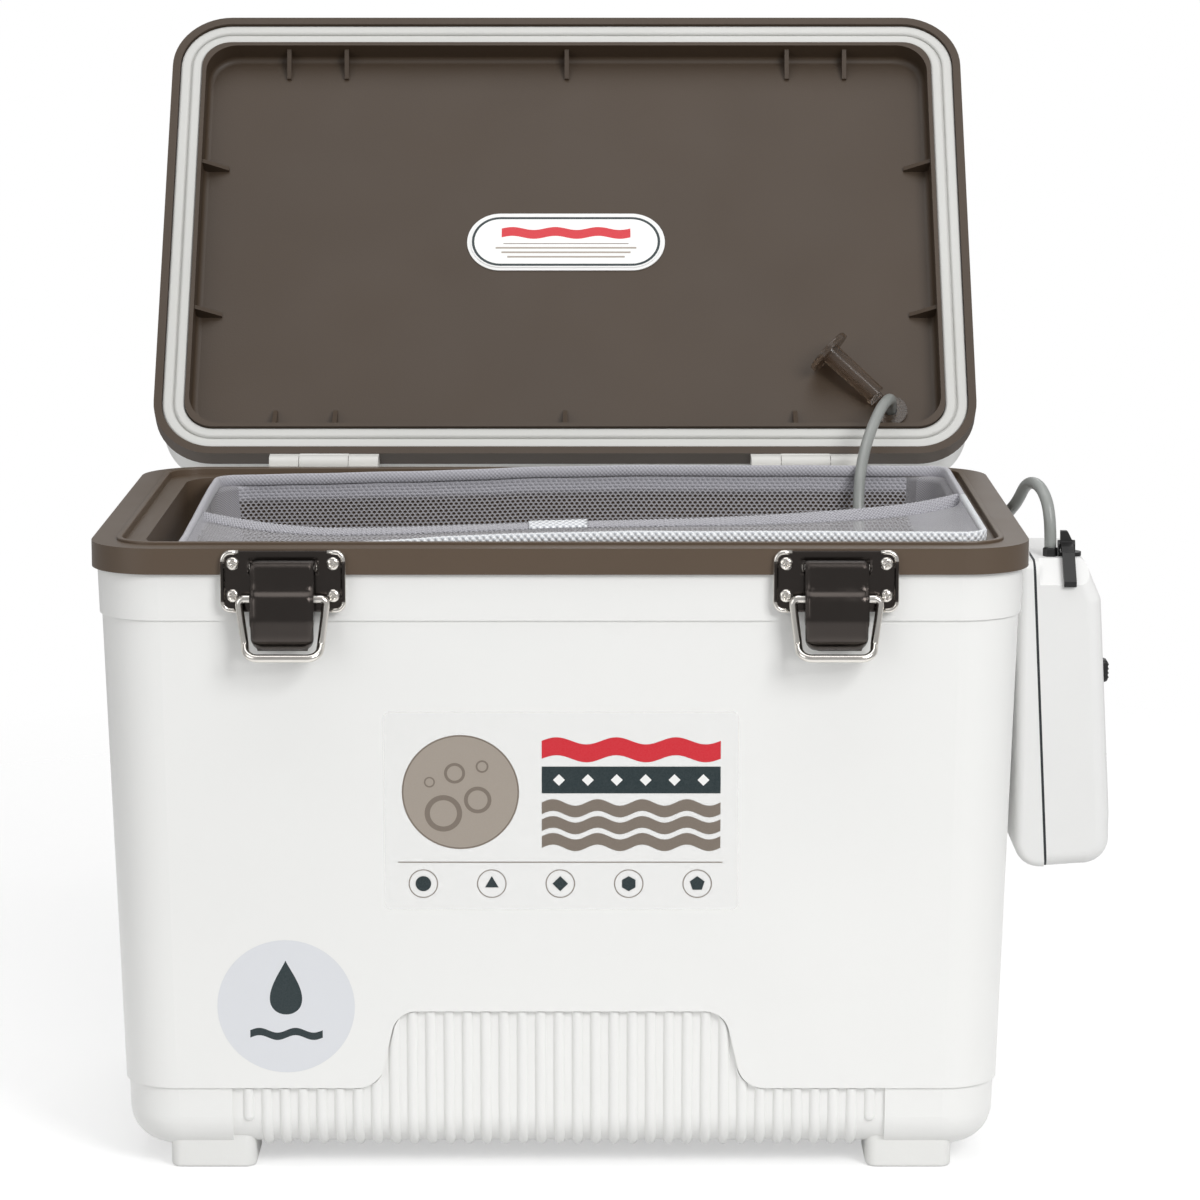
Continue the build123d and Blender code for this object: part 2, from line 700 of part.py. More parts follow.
for side, side_name in ((-1, "left"), (1, "right")):
    centre = side * latch_half
    face = Plane(origin=(centre, front_face, plate_z), x_dir=(1, 0, 0), z_dir=(0, -1, 0))
    ear_plane = lever_side.offset(-centre)

    with BuildPart() as latch_plate:
        with BuildSketch(face):
            RectangleRounded(plate_width, plate_height, 5)
        extrude(amount=plate_thick)
        for x in (-plate_width / 2 + 0.8, plate_width / 2 - 0.8):
            with BuildSketch(face):
                with Locations((x, 0)):
                    Rectangle(1.6, plate_height - 9)
            extrude(amount=plate_thick + curl_height)
        fillet(latch_plate.edges().filter_by(Axis.Z).sort_by(Axis.Y)[:4], 0.7)
        for x in (-ear_inner_half - ear_thick, ear_inner_half):
            with BuildSketch(ear_plane.offset(x)):
                Circle(ear_radius)
                with Locations((-(latch_pin_out - plate_thick) / 2 - 0.2, -1)):
                    Rectangle(latch_pin_out - plate_thick + 0.4, 2 * ear_radius)
            extrude(amount=ear_thick)
        with Locations(Location((centre, latch_pin_y, latch_pin_z), (0, 90, 0))):
            Cylinder(latch_pin_radius, plate_width, mode=Mode.SUBTRACT)
        with Locations(*tub_screw_places()):
            Cylinder(screw_radius, 2 * screw_length, mode=Mode.SUBTRACT)
    keep(f"latch_plate_{side_name}", latch_plate.part)

    with BuildPart() as latch_pin:
        with Locations(Location((centre, latch_pin_y, latch_pin_z), (0, 90, 0))):
            Cylinder(latch_pin_radius, 2 * (ear_inner_half + ear_thick) + 0.2)
    keep(f"latch_pin_{side_name}", latch_pin.part)

    with BuildPart() as latch_lever:
        with BuildSketch(ear_plane.offset(-lever_width / 2)):
            add(lever_profile())
        extrude(amount=lever_width)
        with BuildSketch(ear_plane.offset(-lever_width / 2 + lever_thick)):
            add(lever_profile(lever_thick))
        extrude(amount=lever_width - 2 * lever_thick, mode=Mode.SUBTRACT)
        with Locations(Location((centre, latch_pin_y, latch_pin_z), (0, 90, 0))):
            Cylinder(3.0, lever_width)
            Cylinder(latch_pin_radius + running_gap, lever_width + 2, mode=Mode.SUBTRACT)
        with Locations(Location((centre, bail_pivot_y, bail_pivot_z), (0, 90, 0))):
            Cylinder(bail_wire / 2 + running_gap, lever_width + 2, mode=Mode.SUBTRACT)
        with BuildSketch(Plane(origin=(centre, latch_pin_y, latch_pin_z), x_dir=(1, 0, 0), z_dir=(0, -1, 0))) as front_view:
            with BuildLine():
                Polyline(
                    (-lever_width / 2, 4), (lever_width / 2, 4), (lever_width / 2, -24),
                    (lever_width / 2 - 3, -lever_length), (3 - lever_width / 2, -lever_length), (-lever_width / 2, -24),
                    close=True,
                )
            make_face()
            fillet(front_view.vertices().sort_by(Axis.Z)[:2], 5)
        extrude(amount=12, both=True, mode=Mode.INTERSECT)
    keep(f"latch_lever_{side_name}", latch_lever.part)

    half_top, half_end = (bail_outer - bail_wire) / 2, (bail_end_width - bail_wire) / 2
    low = bail_pivot_z - bail_reach + bail_wire / 2
    with BuildPart() as latch_bail:
        with BuildLine():
            FilletPolyline(
                (centre - bail_eye_half, bail_pivot_y, bail_pivot_z),
                (centre - half_top, bail_pivot_y, bail_pivot_z),
                (centre - half_end - 0.6, bail_pivot_y, low + bail_hook_length),
                (centre - half_end, bail_pivot_y - bail_hook, low),
                (centre + half_end, bail_pivot_y - bail_hook, low),
                (centre + half_end + 0.6, bail_pivot_y, low + bail_hook_length),
                (centre + half_top, bail_pivot_y, bail_pivot_z),
                (centre + bail_eye_half, bail_pivot_y, bail_pivot_z),
                radius=[2.4, 2.6, 5.6, 5.6, 2.6, 2.4],
            )
        with BuildSketch(Plane(origin=(centre - bail_eye_half, bail_pivot_y, bail_pivot_z), z_dir=(1, 0, 0))):
            Circle(bail_wire / 2)
        sweep()
    keep(f"latch_bail_{side_name}", latch_bail.part)

keep("tub_screws", screws(tub_screw_places()))
keep("lid_screws", screws(lid_screw_places()), swing)

# ---------------------------------------------------------------- hose port and its plug
with BuildPart() as port_grommet:
    port_length = lid_height - pan_depth
    with Locations((port_side, port_y, pan_floor + port_length / 2)):
        Cylinder(port_hole, port_length + 2 * grommet_thick)
    for z in (pan_floor - grommet_thick / 2, lid_top + grommet_thick / 2):
        with Locations((port_side, port_y, z)):
            Cylinder(grommet_flange, grommet_thick)
    with Locations((port_side, port_y, pan_floor)):
        Cylinder(port_hole - grommet_wall, 4 * lid_height, mode=Mode.SUBTRACT)
keep("port_grommet", port_grommet.part, swing)

plug_turn = degrees(atan2(-plug_forward, -plug_side))
plug_tail = grommet_flange + 2.6
strap_root = (grommet_flange + strap_thick / 2 + 0.3, 0, 1.2)  # the fold that the plug turns on
plug_lean = degrees(atan2(plug_head - plug_shaft, plug_length))
plug_place = Location((port_side, port_y, pan_floor), (0, 0, plug_turn)) * Rot(180, 0, 0)
with BuildPart() as port_plug:
    with BuildSketch(Plane.YZ.offset(plug_tail)):
        with Locations((0, plug_shaft)):
            Circle(plug_shaft - 0.5)
    with BuildSketch(Plane.YZ.offset(plug_tail + plug_length)):
        with Locations((0, plug_shaft)):
            Circle(plug_shaft)
    loft()
    with BuildSketch(Plane.YZ.offset(plug_tail + plug_length)):
        with Locations((0, plug_shaft)):
            Circle(plug_head)
    extrude(amount=plug_thick)
    fillet(port_plug.faces().sort_by(Axis.X)[-1].edges(), 0.8)
    with Locations(strap_root):
        Box(plug_tail - strap_root[0] + 1.5, 8, strap_thick, align=(Align.MIN, Align.CENTER, Align.CENTER))
        with Locations(Location((0, 0, 0), (90, 0, 0))):
            Cylinder(strap_thick / 2, 8)
lean = Pos(plug_tail, 0, 0.5) * Rot(0, -plug_lean, 0) * Pos(-plug_tail, 0, 0)
keep("port_plug", port_plug.part, swing * plug_place * lean)

# ---------------------------------------------------------------- net
settle = Pos(net_shift - 160, 0, liner_floor) * Rot(0, -0.8, 0) * Pos(160 - net_shift, 0, -liner_floor)


def net_section(z, inset=0.0):
    """The net bag's outline at a height. It narrows towards its foot and stands back towards the middle."""
    fall = net_top - z
    narrow = inset + fall * tan(radians(net_taper))
    with BuildSketch(Plane.XY.offset(z)) as outline:
        with Locations((net_shift * (1 - fall / (2 * net_top)), 0)):
            RectangleRounded(net_width - 2 * narrow, net_depth - 2 * narrow, max(net_corner - inset, 2))
    return outline.sketch


net_foot = liner_floor + net_foot_gap
with BuildPart() as net_bag:
    loft(sections=[net_section(net_foot), net_section(net_top)])
    fillet(net_bag.faces().sort_by(Axis.Z)[0].edges(), net_corner - 0.5)
    with BuildPart(mode=Mode.PRIVATE) as net_space:
        loft(sections=[net_section(net_foot + net_skin, net_skin), net_section(net_top, net_skin)])
        fillet(net_space.faces().sort_by(Axis.Z)[0].edges(), net_corner - net_skin - 0.5)
    add(net_space.part, mode=Mode.SUBTRACT)
keep("net_bag", net_bag.part, settle)

hoop_plane = Plane.XY.offset(net_top + hem_height / 2)
with BuildPart() as net_hoop:
    with BuildLine(hoop_plane):
        with BuildSketch(hoop_plane, mode=Mode.PRIVATE) as hoop_path:
            with Locations((net_shift, 0)):
                RectangleRounded(net_width - hem_thick, net_depth - hem_thick, net_corner - hem_thick / 2)
        add(hoop_path.wires()[0])
    with BuildSketch(Plane(origin=(net_shift, -(net_depth - hem_thick) / 2, net_top + hem_height / 2), z_dir=(1, 0, 0))):
        Circle(hoop_radius)
    sweep()
keep("net_hoop", net_hoop.part, settle)

with BuildPart() as net_hem:
    for inset, mode in ((0, Mode.ADD), (hem_thick, Mode.SUBTRACT)):
        with BuildSketch(Plane.XY.offset(net_top)):
            with Locations((net_shift, 0)):
                RectangleRounded(net_width - 2 * inset, net_depth - 2 * inset, net_corner - inset)
        extrude(amount=hem_height, mode=mode)
    add(net_hoop.part, mode=Mode.SUBTRACT)
keep("net_hem", net_hem.part, settle)

cover_plane = Plane.XY.offset(net_top + hem_height - cover_drop - cover_thick)


def hem_inside():
    """The outline inside the hem."""
    with BuildSketch() as outline:
        with Locations((net_shift, 0)):
            inset = hem_thick
            RectangleRounded(net_width - 2 * inset, net_depth - 2 * inset, net_corner - inset)
    return outline.sketch


def front_of_edge(back):
    """Everything in front of the cover's curved back edge, moved back by a distance."""
    half = net_width / 2
    with BuildSketch() as area:
        with BuildLine():
            ThreePointArc(
                (net_shift - half, cover_end + back), (net_shift, cover_middle + back), (net_shift + half, cover_end + back)
            )
            Polyline(
                (net_shift + half, cover_end + back), (net_shift + half, -net_depth),
                (net_shift - half, -net_depth), (net_shift - half, cover_end + back),
            )
        make_face()
        add(hem_inside(), mode=Mode.INTERSECT)
    return area.sketch


with BuildPart() as net_cover:
    with BuildSketch(cover_plane):
        add(front_of_edge(0))
    extrude(amount=cover_thick)
keep("net_cover", net_cover.part, settle)

with BuildPart() as net_elastic:
    with BuildSketch(cover_plane.offset((cover_thick - band_thick) / 2)):
        add(front_of_edge(band_width))
        add(front_of_edge(0), mode=Mode.SUBTRACT)
    extrude(amount=band_thick)
keep("net_elastic", net_elastic.part, settle)

with BuildPart() as net_tab:
    with BuildSketch(cover_plane.offset((cover_thick + band_thick) / 2)):
        with Locations((net_shift, cover_middle + band_width / 2)):
            Rectangle(tab_length, band_width - 1)
    extrude(amount=0.8)
keep("net_tab", net_tab.part, settle)

# ---------------------------------------------------------------- air pump
pump_y = -24.0  # the outlet's line, towards the front of the case
seam_lean = (seam_foot - seam_top) / (pump_top - pump_foot)


def seam_x(z):
    """Where the seam between the two case halves stands at a height."""
    return seam_top + (pump_top - z) * seam_lean


def case_half(back, wall=0.0):
    """One half of the pump's case seen from the front, or the hollow inside it."""
    gap = seal_thick / 2
    side = -1 if back else 1
    top_seam = (seam_x(pump_top) + side * gap, pump_top)
    foot_seam = (seam_x(pump_foot) + side * gap, pump_foot)
    with BuildSketch() as outline:
        with BuildLine():
            if back:
                Polyline(top_seam, (pump_back, pump_top), (pump_back, pump_foot), foot_seam, close=True)
            else:
                Polyline(
                    top_seam, (shoulder_out, pump_top), (front_top, shoulder_foot), (front_foot, belly_height),
                    (front_foot, pump_foot + 2), foot_seam, close=True,
                )
        make_face()
        if back:
            fillet(outline.vertices().sort_by_distance((pump_back, pump_foot))[0], pump_back_round)
        else:
            fillet(outline.vertices().sort_by_distance((front_foot, pump_foot))[0], pump_front_round)
            fillet(outline.vertices().sort_by_distance((shoulder_out, pump_top))[0], 4)
            fillet(outline.vertices().sort_by_distance((front_top, shoulder_foot))[0], 8)
        if wall:
            offset(amount=-wall, kind=Kind.INTERSECTION, mode=Mode.REPLACE)
            with BuildLine():
                Polyline(
                    (top_seam[0] - side * wall, pump_top - wall), (top_seam[0] + side * 1.2 * wall, pump_top - wall),
                    (foot_seam[0] + side * 1.2 * wall, pump_foot + wall), (foot_seam[0] - side * wall, pump_foot + wall),
                    close=True,
                )
            make_face()
    return Plane.XZ * outline.sketch


def shoulders(deeper=0.0):
    """The space outside the front half's two cut-down upper corners, moved in by a wall."""
    slant = cos(atan2(scoop_height, scoop_width))
    top = pump_half - scoop_width - deeper / sin(atan2(scoop_height, scoop_width))
    low = pump_top - scoop_height - deeper / slant
    with BuildPart() as space:
        with BuildSketch(Plane.YZ.offset(seam_top + seal_thick / 2 + 2)):
            for side in (-1, 1):
                with BuildLine():
                    Polyline(
                        (side * top, pump_top), (side * pump_half, low), (side * (pump_half + 5), low),
                        (side * (pump_half + 5), pump_top + 5), (side * top, pump_top + 5), close=True,
                    )
                make_face()
        extrude(amount=60)
    return space.part


def pump_case(back):
    """A hollow half of the case, open at the seam."""
    with BuildPart() as half:
        extrude(case_half(back), amount=pump_half, both=True)
        ends = half.edges().filter_by(lambda e: abs(abs(e.center().Y) - pump_half) < 0.01)
        ends = ends.filter_by(lambda e: abs(e.center().X - seam_x(e.center().Z)) > 1)
        fillet(ends, back_edge_round if back else case_round)
        with BuildPart(mode=Mode.PRIVATE) as hollow:
            extrude(case_half(back, case_wall), amount=pump_half - case_wall, both=True)
            if not back:
                add(shoulders(case_wall), mode=Mode.SUBTRACT)
        add(hollow.part, mode=Mode.SUBTRACT)
        if not back:
            add(shoulders(), mode=Mode.SUBTRACT)
    return half.part


front_lean = (front_foot - front_top) / (shoulder_foot - belly_height)
front_wall = Plane(
    origin=(front_top + (shoulder_foot - switch_height) * front_lean, 0, switch_height),
    x_dir=(0, 1, 0),
    z_dir=(1, 0, front_lean),
)

with BuildPart() as pump_front_case:
    add(pump_case(False))
    with BuildSketch(front_wall.offset(-2 * case_wall)):
        Rectangle(5, 8 + 2 * switch_travel)
    extrude(amount=4 * case_wall, mode=Mode.SUBTRACT)
    with Locations((outlet_out, pump_y, pump_top)):
        Cylinder(nut_radius - 1, 4 * case_wall, mode=Mode.SUBTRACT)
keep("pump_front_case", pump_front_case.part)

hook_top = pump_top + 4
cell_x = (pump_back + front_foot) / 2
cell_side = cell_radius + 0.6
cell_foot = pump_foot + case_wall + 5
cradle_depth = 10.0
cradle_thick = 2.0
wall_band_x = half_width - shell_inset - (shell_top - pump_top) * slope
hook_x = wall_band_x + 1.0
with BuildPart() as pump_back_case:
    add(pump_case(True))
    with BuildSketch(Plane.XZ):
        with BuildLine():
            Polyline(
                (hook_x, bracket_foot + 8), (hook_x, hook_top), (pump_back + 6, hook_top), (pump_back + 6, pump_top),
                (pump_back + 0.1, pump_top), (pump_back + 0.1, hook_top - bracket_plate),
                (hook_x + 1.6, hook_top - bracket_plate), (hook_x + 1.6, bracket_foot + 8), close=True,
            )
        make_face()
    extrude(amount=bracket_half - 6, both=True)
    for z in (cell_foot + cell_length / 4, cell_foot + 3 * cell_length / 4):
        with Locations((pump_back + case_wall, 0, z)):
            Box(cradle_depth, 3 * cell_radius, cradle_thick, align=(Align.MIN, Align.CENTER, Align.CENTER))
    with Locations((cell_x, -cell_side, cell_foot + cell_length / 2), (cell_x, cell_side, cell_foot + cell_length / 2)):
        Cylinder(cell_radius + 0.3, cell_length, mode=Mode.SUBTRACT)
keep("pump_back_case", pump_back_case.part)

seam_middle = ((seam_top + seam_foot) / 2, 0, (pump_top + pump_foot) / 2)
seam_length = (pump_top - pump_foot) / cos(atan2(seam_lean, 1))
with BuildPart() as case_seal:
    with BuildSketch(Plane(origin=seam_middle, x_dir=(0, 1, 0), z_dir=(1, 0, seam_lean))):
        RectangleRounded(2 * pump_half, seam_length, case_round)
        RectangleRounded(2 * pump_half - 6, seam_length - 6, case_round - 3, mode=Mode.SUBTRACT)
    extrude(amount=seal_thick * cos(atan2(seam_lean, 1)) / 2, both=True)
keep("case_seal", case_seal.part)

with BuildPart() as pump_bracket:
    def wall_x(z):
        """Where the tub's side wall stands at a height."""
        step = 0 if z > band_foot else band_step
        return half_width - shell_inset - (shell_top - z) * slope - step
    plate_x = pump_back - 0.3 - bracket_plate
    seat = 0.05
    with BuildSketch(Plane.XZ):
        with BuildLine():
            Polyline((plate_x, bracket_foot), (plate_x, pump_top - 0.5), (plate_x + bracket_plate, pump_top - 0.5), (plate_x + bracket_plate, bracket_foot), close=True)
        make_face()
    extrude(amount=bracket_half, both=True)
    with BuildSketch(Plane.XZ.offset(-bracket_half)) as rail:
        with BuildLine():
            Polyline(
                (wall_x(bracket_foot) + seat, bracket_foot),
                (wall_x(band_foot - 0.01) + seat, band_foot - seat),
                (wall_x(band_foot + 0.01) + seat, band_foot - seat),
                (wall_x(pump_top - 0.5) + seat, pump_top - 0.5), (plate_x + bracket_plate, pump_top - 0.5), (plate_x + bracket_plate, bracket_foot), close=True,
            )
        make_face()
    extrude(amount=5)
    extrude(rail.sketch.moved(Pos(0, 5 - 2 * bracket_half, 0)), amount=5)
keep("pump_bracket", pump_bracket.part)


# ---------------------------------------------------------------- inside the pump
with BuildPart() as battery_cells:
    for y in (-cell_side, cell_side):
        with Locations((cell_x, y, cell_foot)):
            Cylinder(cell_radius, cell_length - 1.5, align=(Align.CENTER, Align.CENTER, Align.MIN))
        with Locations((cell_x, y, cell_foot + cell_length - 1.5)):
            Cylinder(4.5, 1.5, align=(Align.CENTER, Align.CENTER, Align.MIN))
keep("battery_cells", battery_cells.part)

with BuildPart() as battery_contacts:
    with Locations((cell_x, 0, cell_foot - 0.4)):
        Box(9, 4 * cell_radius - 8, 0.8)
    for y in (-cell_side, cell_side):
        with BuildSketch(Plane.XZ.offset(-y - 4)):
            with BuildLine():
                leaf = Polyline(
                    (cell_x - 7, cell_foot + cell_length + 6), (cell_x - 7, cell_foot + cell_length + 4),
                    (cell_x, cell_foot + cell_length + 0.05), (cell_x + 7, cell_foot + cell_length + 4),
                    (cell_x + 7, cell_foot + cell_length + 6),
                )
                offset(leaf, amount=0.7, side=Side.LEFT)
            make_face()
        extrude(amount=8)
keep("battery_contacts", battery_contacts.part)

board_x = front_wall.origin.X - 9
with BuildPart() as circuit_board:
    with Locations((board_x, 0, switch_height)):
        Box(1.6, 60, 30)
    with Locations((board_x + 0.8 + 1.75, 0, switch_height)):
        Box(3.5, 9, 16)
    for y, z in ((-22, 8), (-20, -7), (19, 6), (24, -5)):
        with Locations((board_x - 0.8 - 2.5, y, switch_height + z)):
            Box(5, 7, 5)
keep("circuit_board", circuit_board.part)

thumb_reach = 4.0
with BuildPart() as speed_switch:
    with BuildSketch(front_wall.offset(-thumb_reach)):
        Rectangle(4.4, 7)
    extrude(amount=thumb_reach + 0.4)
    with BuildSketch(front_wall.offset(0.3)):
        RectangleRounded(9, 11, 1.5)
    extrude(amount=2.3)
    fillet(speed_switch.faces().sort_by(Axis.X)[-1].edges(), 0.7)
keep("speed_switch", speed_switch.part)

motor_z = 226.0
motor_y = pump_y + 10
crank_offset = 2.0
with BuildPart() as pump_motor:
    with Locations(Location((outlet_out, motor_y, motor_z), (-90, 0, 0))):
        Cylinder(motor_radius, 27, align=(Align.CENTER, Align.CENTER, Align.MIN))
        Cylinder(1.0, 6.5, align=(Align.CENTER, Align.CENTER, Align.MAX))
    fillet(pump_motor.edges().filter_by(GeomType.CIRCLE).group_by(SortBy.RADIUS)[-1], 1.5)
keep("pump_motor", pump_motor.part)

with BuildPart() as motor_crank:
    with Locations(Location((outlet_out, motor_y - 5.5, motor_z), (-90, 0, 0))):
        Cylinder(5.5, 3.0)
        Cylinder(1.0 + running_gap, 3.2, mode=Mode.SUBTRACT)
    with Locations(Location((outlet_out + crank_offset, motor_y - 9, motor_z), (-90, 0, 0))):
        Cylinder(1.2, 4.2)
keep("motor_crank", motor_crank.part)

yoke_travel = 1.8
head_foot = pump_top - case_wall - 14
window = 2 * (crank_offset + yoke_travel + 1.2 + 0.4)
yoke_y = motor_y - 9
with BuildPart() as pump_yoke:
    with Locations((outlet_out, yoke_y, motor_z)):
        Box(window + 5, 3, window + 5)
        Box(window, 4, window, mode=Mode.SUBTRACT)
    with Locations((outlet_out, yoke_y, (motor_z + window / 2 + head_foot - 6) / 2)):
        Box(4, 3, head_foot - 6 - motor_z - window / 2 + 1)
    with Locations((outlet_out, pump_y, head_foot - 5.5)):
        Cylinder(4.5, 2)
keep("pump_yoke", pump_yoke.part)

with BuildPart() as diaphragm:
    with Locations((outlet_out, pump_y, head_foot - 1)):
        Cylinder(9, 1.8)
    with Locations((outlet_out, pump_y, head_foot - 3.2)):
        Cylinder(5.5, 2.4)
keep("diaphragm", diaphragm.part)

with BuildPart() as valve_head:
    with Locations((outlet_out, pump_y, head_foot + 4.5)):
        Box(15, 16, 9)
    with Locations((outlet_out, pump_y, (head_foot + 9 + pump_top) / 2)):
        Cylinder(nut_radius - 1.1, pump_top - head_foot - 9)
    with Locations((outlet_out, pump_y, pump_top)):
        Cylinder(1.3, 40, mode=Mode.SUBTRACT)
keep("valve_head", valve_head.part)

nut_height = 4.0
with BuildPart() as outlet_nut:
    with BuildSketch(Plane.XY.offset(pump_top)):
        with Locations((outlet_out, pump_y)):
            RegularPolygon(nut_radius, 6)
            Circle(1.3, mode=Mode.SUBTRACT)
    extrude(amount=nut_height)
    chamfer(outlet_nut.faces().sort_by(Axis.Z)[-1].outer_wire().edges(), 0.5)
keep("outlet_nut", outlet_nut.part)

# ---------------------------------------------------------------- clip on the pump's case
clip_x = 230.5
clip_lift = 5.0  # pin line over the case
arm_width = 5.6
fin_height = 11.4  # over the case
with BuildPart() as clip_base:
    with Locations((clip_x + 2.2, clip_side, pump_top + 0.9)):
        Cylinder(4.6, 1.8)
    with Locations((clip_x - 1, clip_side, pump_top + 0.9)):
        Box(5.6, 7.2, 1.8)
    for x in (-arm_width / 2 - 1.1, arm_width / 2 + 0.2):
        with BuildSketch(Plane.YZ.offset(clip_x + x)):
            with Locations((clip_side, pump_top + clip_lift)):
                Circle(2.1)
            with Locations((clip_side, pump_top + clip_lift / 2 + 0.5)):
                Rectangle(4.2, clip_lift - 1)
        extrude(amount=0.9)
    with Locations(Location((clip_x, clip_side, pump_top + clip_lift), (0, 90, 0))):
        Cylinder(1.0, arm_width + 2)
keep("clip_base", clip_base.part)

with BuildPart() as case_clip:
    near = -pump_half
    with BuildSketch(Plane.YZ.offset(clip_x - arm_width / 2)):
        with Locations((clip_side, pump_top + clip_lift)):
            Circle(2.2)
        with BuildLine():
            Polyline(
                (clip_side, pump_top + clip_lift + 1.9), (clip_side - 5.8, pump_top + 4.9),
                (near + scoop_width - 2.2, pump_top + 2.6), (near - 2.4, pump_top - scoop_height + 2.0),
                (near - 2.0, pump_top - scoop_height - 0.6), (near - 0.4, pump_top - scoop_height + 0.4),
                (near + scoop_width - 0.6, pump_top + 0.7), (clip_side - 6.2, pump_top + 2.5),
                (clip_side - 2, pump_top + 2.7), (clip_side, pump_top + clip_lift - 1.8), close=True,
            )
        make_face()
    extrude(amount=arm_width)
    with BuildSketch(Plane.XZ.offset(-clip_side - 1.6)):
        with BuildLine():
            Polyline(
                (clip_x - arm_width / 2, pump_top + clip_lift), (clip_x - arm_width / 2, pump_top + fin_height),
                (clip_x + 0.4, pump_top + fin_height), (clip_x + arm_width / 2, pump_top + clip_lift + 1.5),
                (clip_x + arm_width / 2, pump_top + clip_lift), close=True,
            )
        fin = make_face()
        fillet(fin.vertices().sort_by(Axis.Z)[-2:], 1.2)
    extrude(amount=3.2)
    with Locations(Location((clip_x, clip_side, pump_top + clip_lift), (0, 90, 0))):
        Cylinder(1.0 + running_gap, arm_width + 2, mode=Mode.SUBTRACT)
keep("case_clip", case_clip.part)

# ---------------------------------------------------------------- air hose and stone
hose_foot = pump_top + nut_height
port_out = swing * Pos(port_side, port_y, lid_top + grommet_thick)
port_in = swing * Pos(port_side, port_y, pan_floor - grommet_thick)
into_port = (port_in.position - port_out.position).normalized()
outer_points = [
    (outlet_out, pump_y, hose_foot),
    (outlet_out, pump_y, 281.5),
    (219.6, -13.1, 292.9),
    (214.7, 2.2, 292.9),
    (211.3, 13.1, 281.5),
    (208.7, 26, 275),
    (209.8, 50, 269),
    (211, 79, 262),
    (212.5, 112, 257),
    (213.5, 147, 254),
    (210, 180, 251),
    (198, 208, 249),
    (177, 216, 256),
    tuple(port_out.position - into_port * 20),
    tuple(port_out.position),
]
inner_points = [
    tuple(port_in.position),
    tuple(port_in.position + into_port * 10),
    (160, 146, 314),
    (154, 130, 309),
    (146, 108, 294),
    (142, 91, 275),
    (143, 82, 238),
    (147, 80, 205),
    (148, 80, 190),
    (148, 80, 172),
]


def hose(points):
    """A hose along a hand-picked route, each bend as wide as its two runs allow."""
    runs = [Vector(b) - Vector(a) for a, b in zip(points, points[1:])]
    turns = [a.get_angle(b) for a, b in zip(runs, runs[1:])]
    radii = [
        0.45 * min(a.length, b.length) / tan(radians(turn / 2)) for a, b, turn in zip(runs, runs[1:], turns)
    ]
    with BuildPart() as tube:
        with BuildLine() as path:
            FilletPolyline(*points, radius=radii)
        with BuildSketch(Plane(origin=points[0], z_dir=runs[0])):
            Circle(hose_radius)
        sweep()
    length = path.wires()[0].length
    share = tube.part.volume / (pi * hose_radius**2 * length)
    print(f"hose {length:.1f} mm, bends {min(radii):.1f} to {max(radii):.0f} mm, filled {share:.4f}")
    return tube.part


keep("hose_outer", hose(outer_points))
keep("hose_inner", hose(inner_points))
with BuildPart() as hose_through:
    with Locations((port_side, port_y, (pan_floor + lid_top) / 2)):
        Cylinder(hose_radius, lid_top - pan_floor + 2 * grommet_thick)
keep("hose_through", hose_through.part, swing)

stone_top = Vector(*inner_points[-1])
with BuildPart() as airstone:
    with BuildSketch(Plane(origin=stone_top - Vector(0, 0, stone_length / 2), z_dir=(0, 0, 1))):
        Circle(stone_radius)
    extrude(amount=stone_length / 2 - 4, both=True)
    fillet(airstone.edges(), 2)
    with Locations(stone_top - Vector(0, 0, 3)):
        Cylinder(3.4, 6)
keep("airstone", airstone.part)

# ---------------------------------------------------------------- common origin and files
boxes = [part.bounding_box() for name, part in pieces.items() if name not in cords]
middle_x = (min(box.min.X for box in boxes) + max(box.max.X for box in boxes)) / 2
middle_y = (min(box.min.Y for box in boxes) + max(box.max.Y for box in boxes)) / 2
origin = Vector(middle_x, middle_y, 0)
print(f"origin in the tub's own frame: {middle_x:.3f}, {middle_y:.3f}")
for name, part in pieces.items():
    placed = part.moved(Location(-origin))
    placed.label = name
    export_step(placed, f"parts/{name}.step")
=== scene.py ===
"""Live-bait cooler: finishes, cloth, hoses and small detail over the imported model.

Lengths are in millimetres in the tub's own frame, as in the part's source: X runs to the right, Y to the
back and Z up from the floor, with X and Y zero in the middle of the tub. place() turns them into metres.
"""

from math import cos, hypot, pi, radians, sin, tau

import bmesh
import bpy
from mathutils import Matrix, Vector, noise
from mathutils.bvhtree import BVHTree


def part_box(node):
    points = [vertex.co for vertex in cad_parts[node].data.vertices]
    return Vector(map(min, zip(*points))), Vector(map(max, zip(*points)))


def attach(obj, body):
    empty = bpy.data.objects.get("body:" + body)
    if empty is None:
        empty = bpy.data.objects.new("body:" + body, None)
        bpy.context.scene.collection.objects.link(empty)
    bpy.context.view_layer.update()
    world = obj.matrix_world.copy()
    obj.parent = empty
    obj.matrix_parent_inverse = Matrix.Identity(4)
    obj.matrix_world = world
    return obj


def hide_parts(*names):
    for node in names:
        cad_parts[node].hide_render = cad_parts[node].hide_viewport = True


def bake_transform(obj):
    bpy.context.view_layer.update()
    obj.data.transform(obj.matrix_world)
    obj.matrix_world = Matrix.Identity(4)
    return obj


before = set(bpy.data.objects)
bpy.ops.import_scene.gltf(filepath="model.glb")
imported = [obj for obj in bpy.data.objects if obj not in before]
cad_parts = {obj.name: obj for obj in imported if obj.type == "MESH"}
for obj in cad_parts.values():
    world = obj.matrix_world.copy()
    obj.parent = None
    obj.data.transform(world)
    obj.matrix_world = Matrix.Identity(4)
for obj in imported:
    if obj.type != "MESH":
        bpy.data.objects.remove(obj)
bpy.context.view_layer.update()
scene = bpy.context.scene
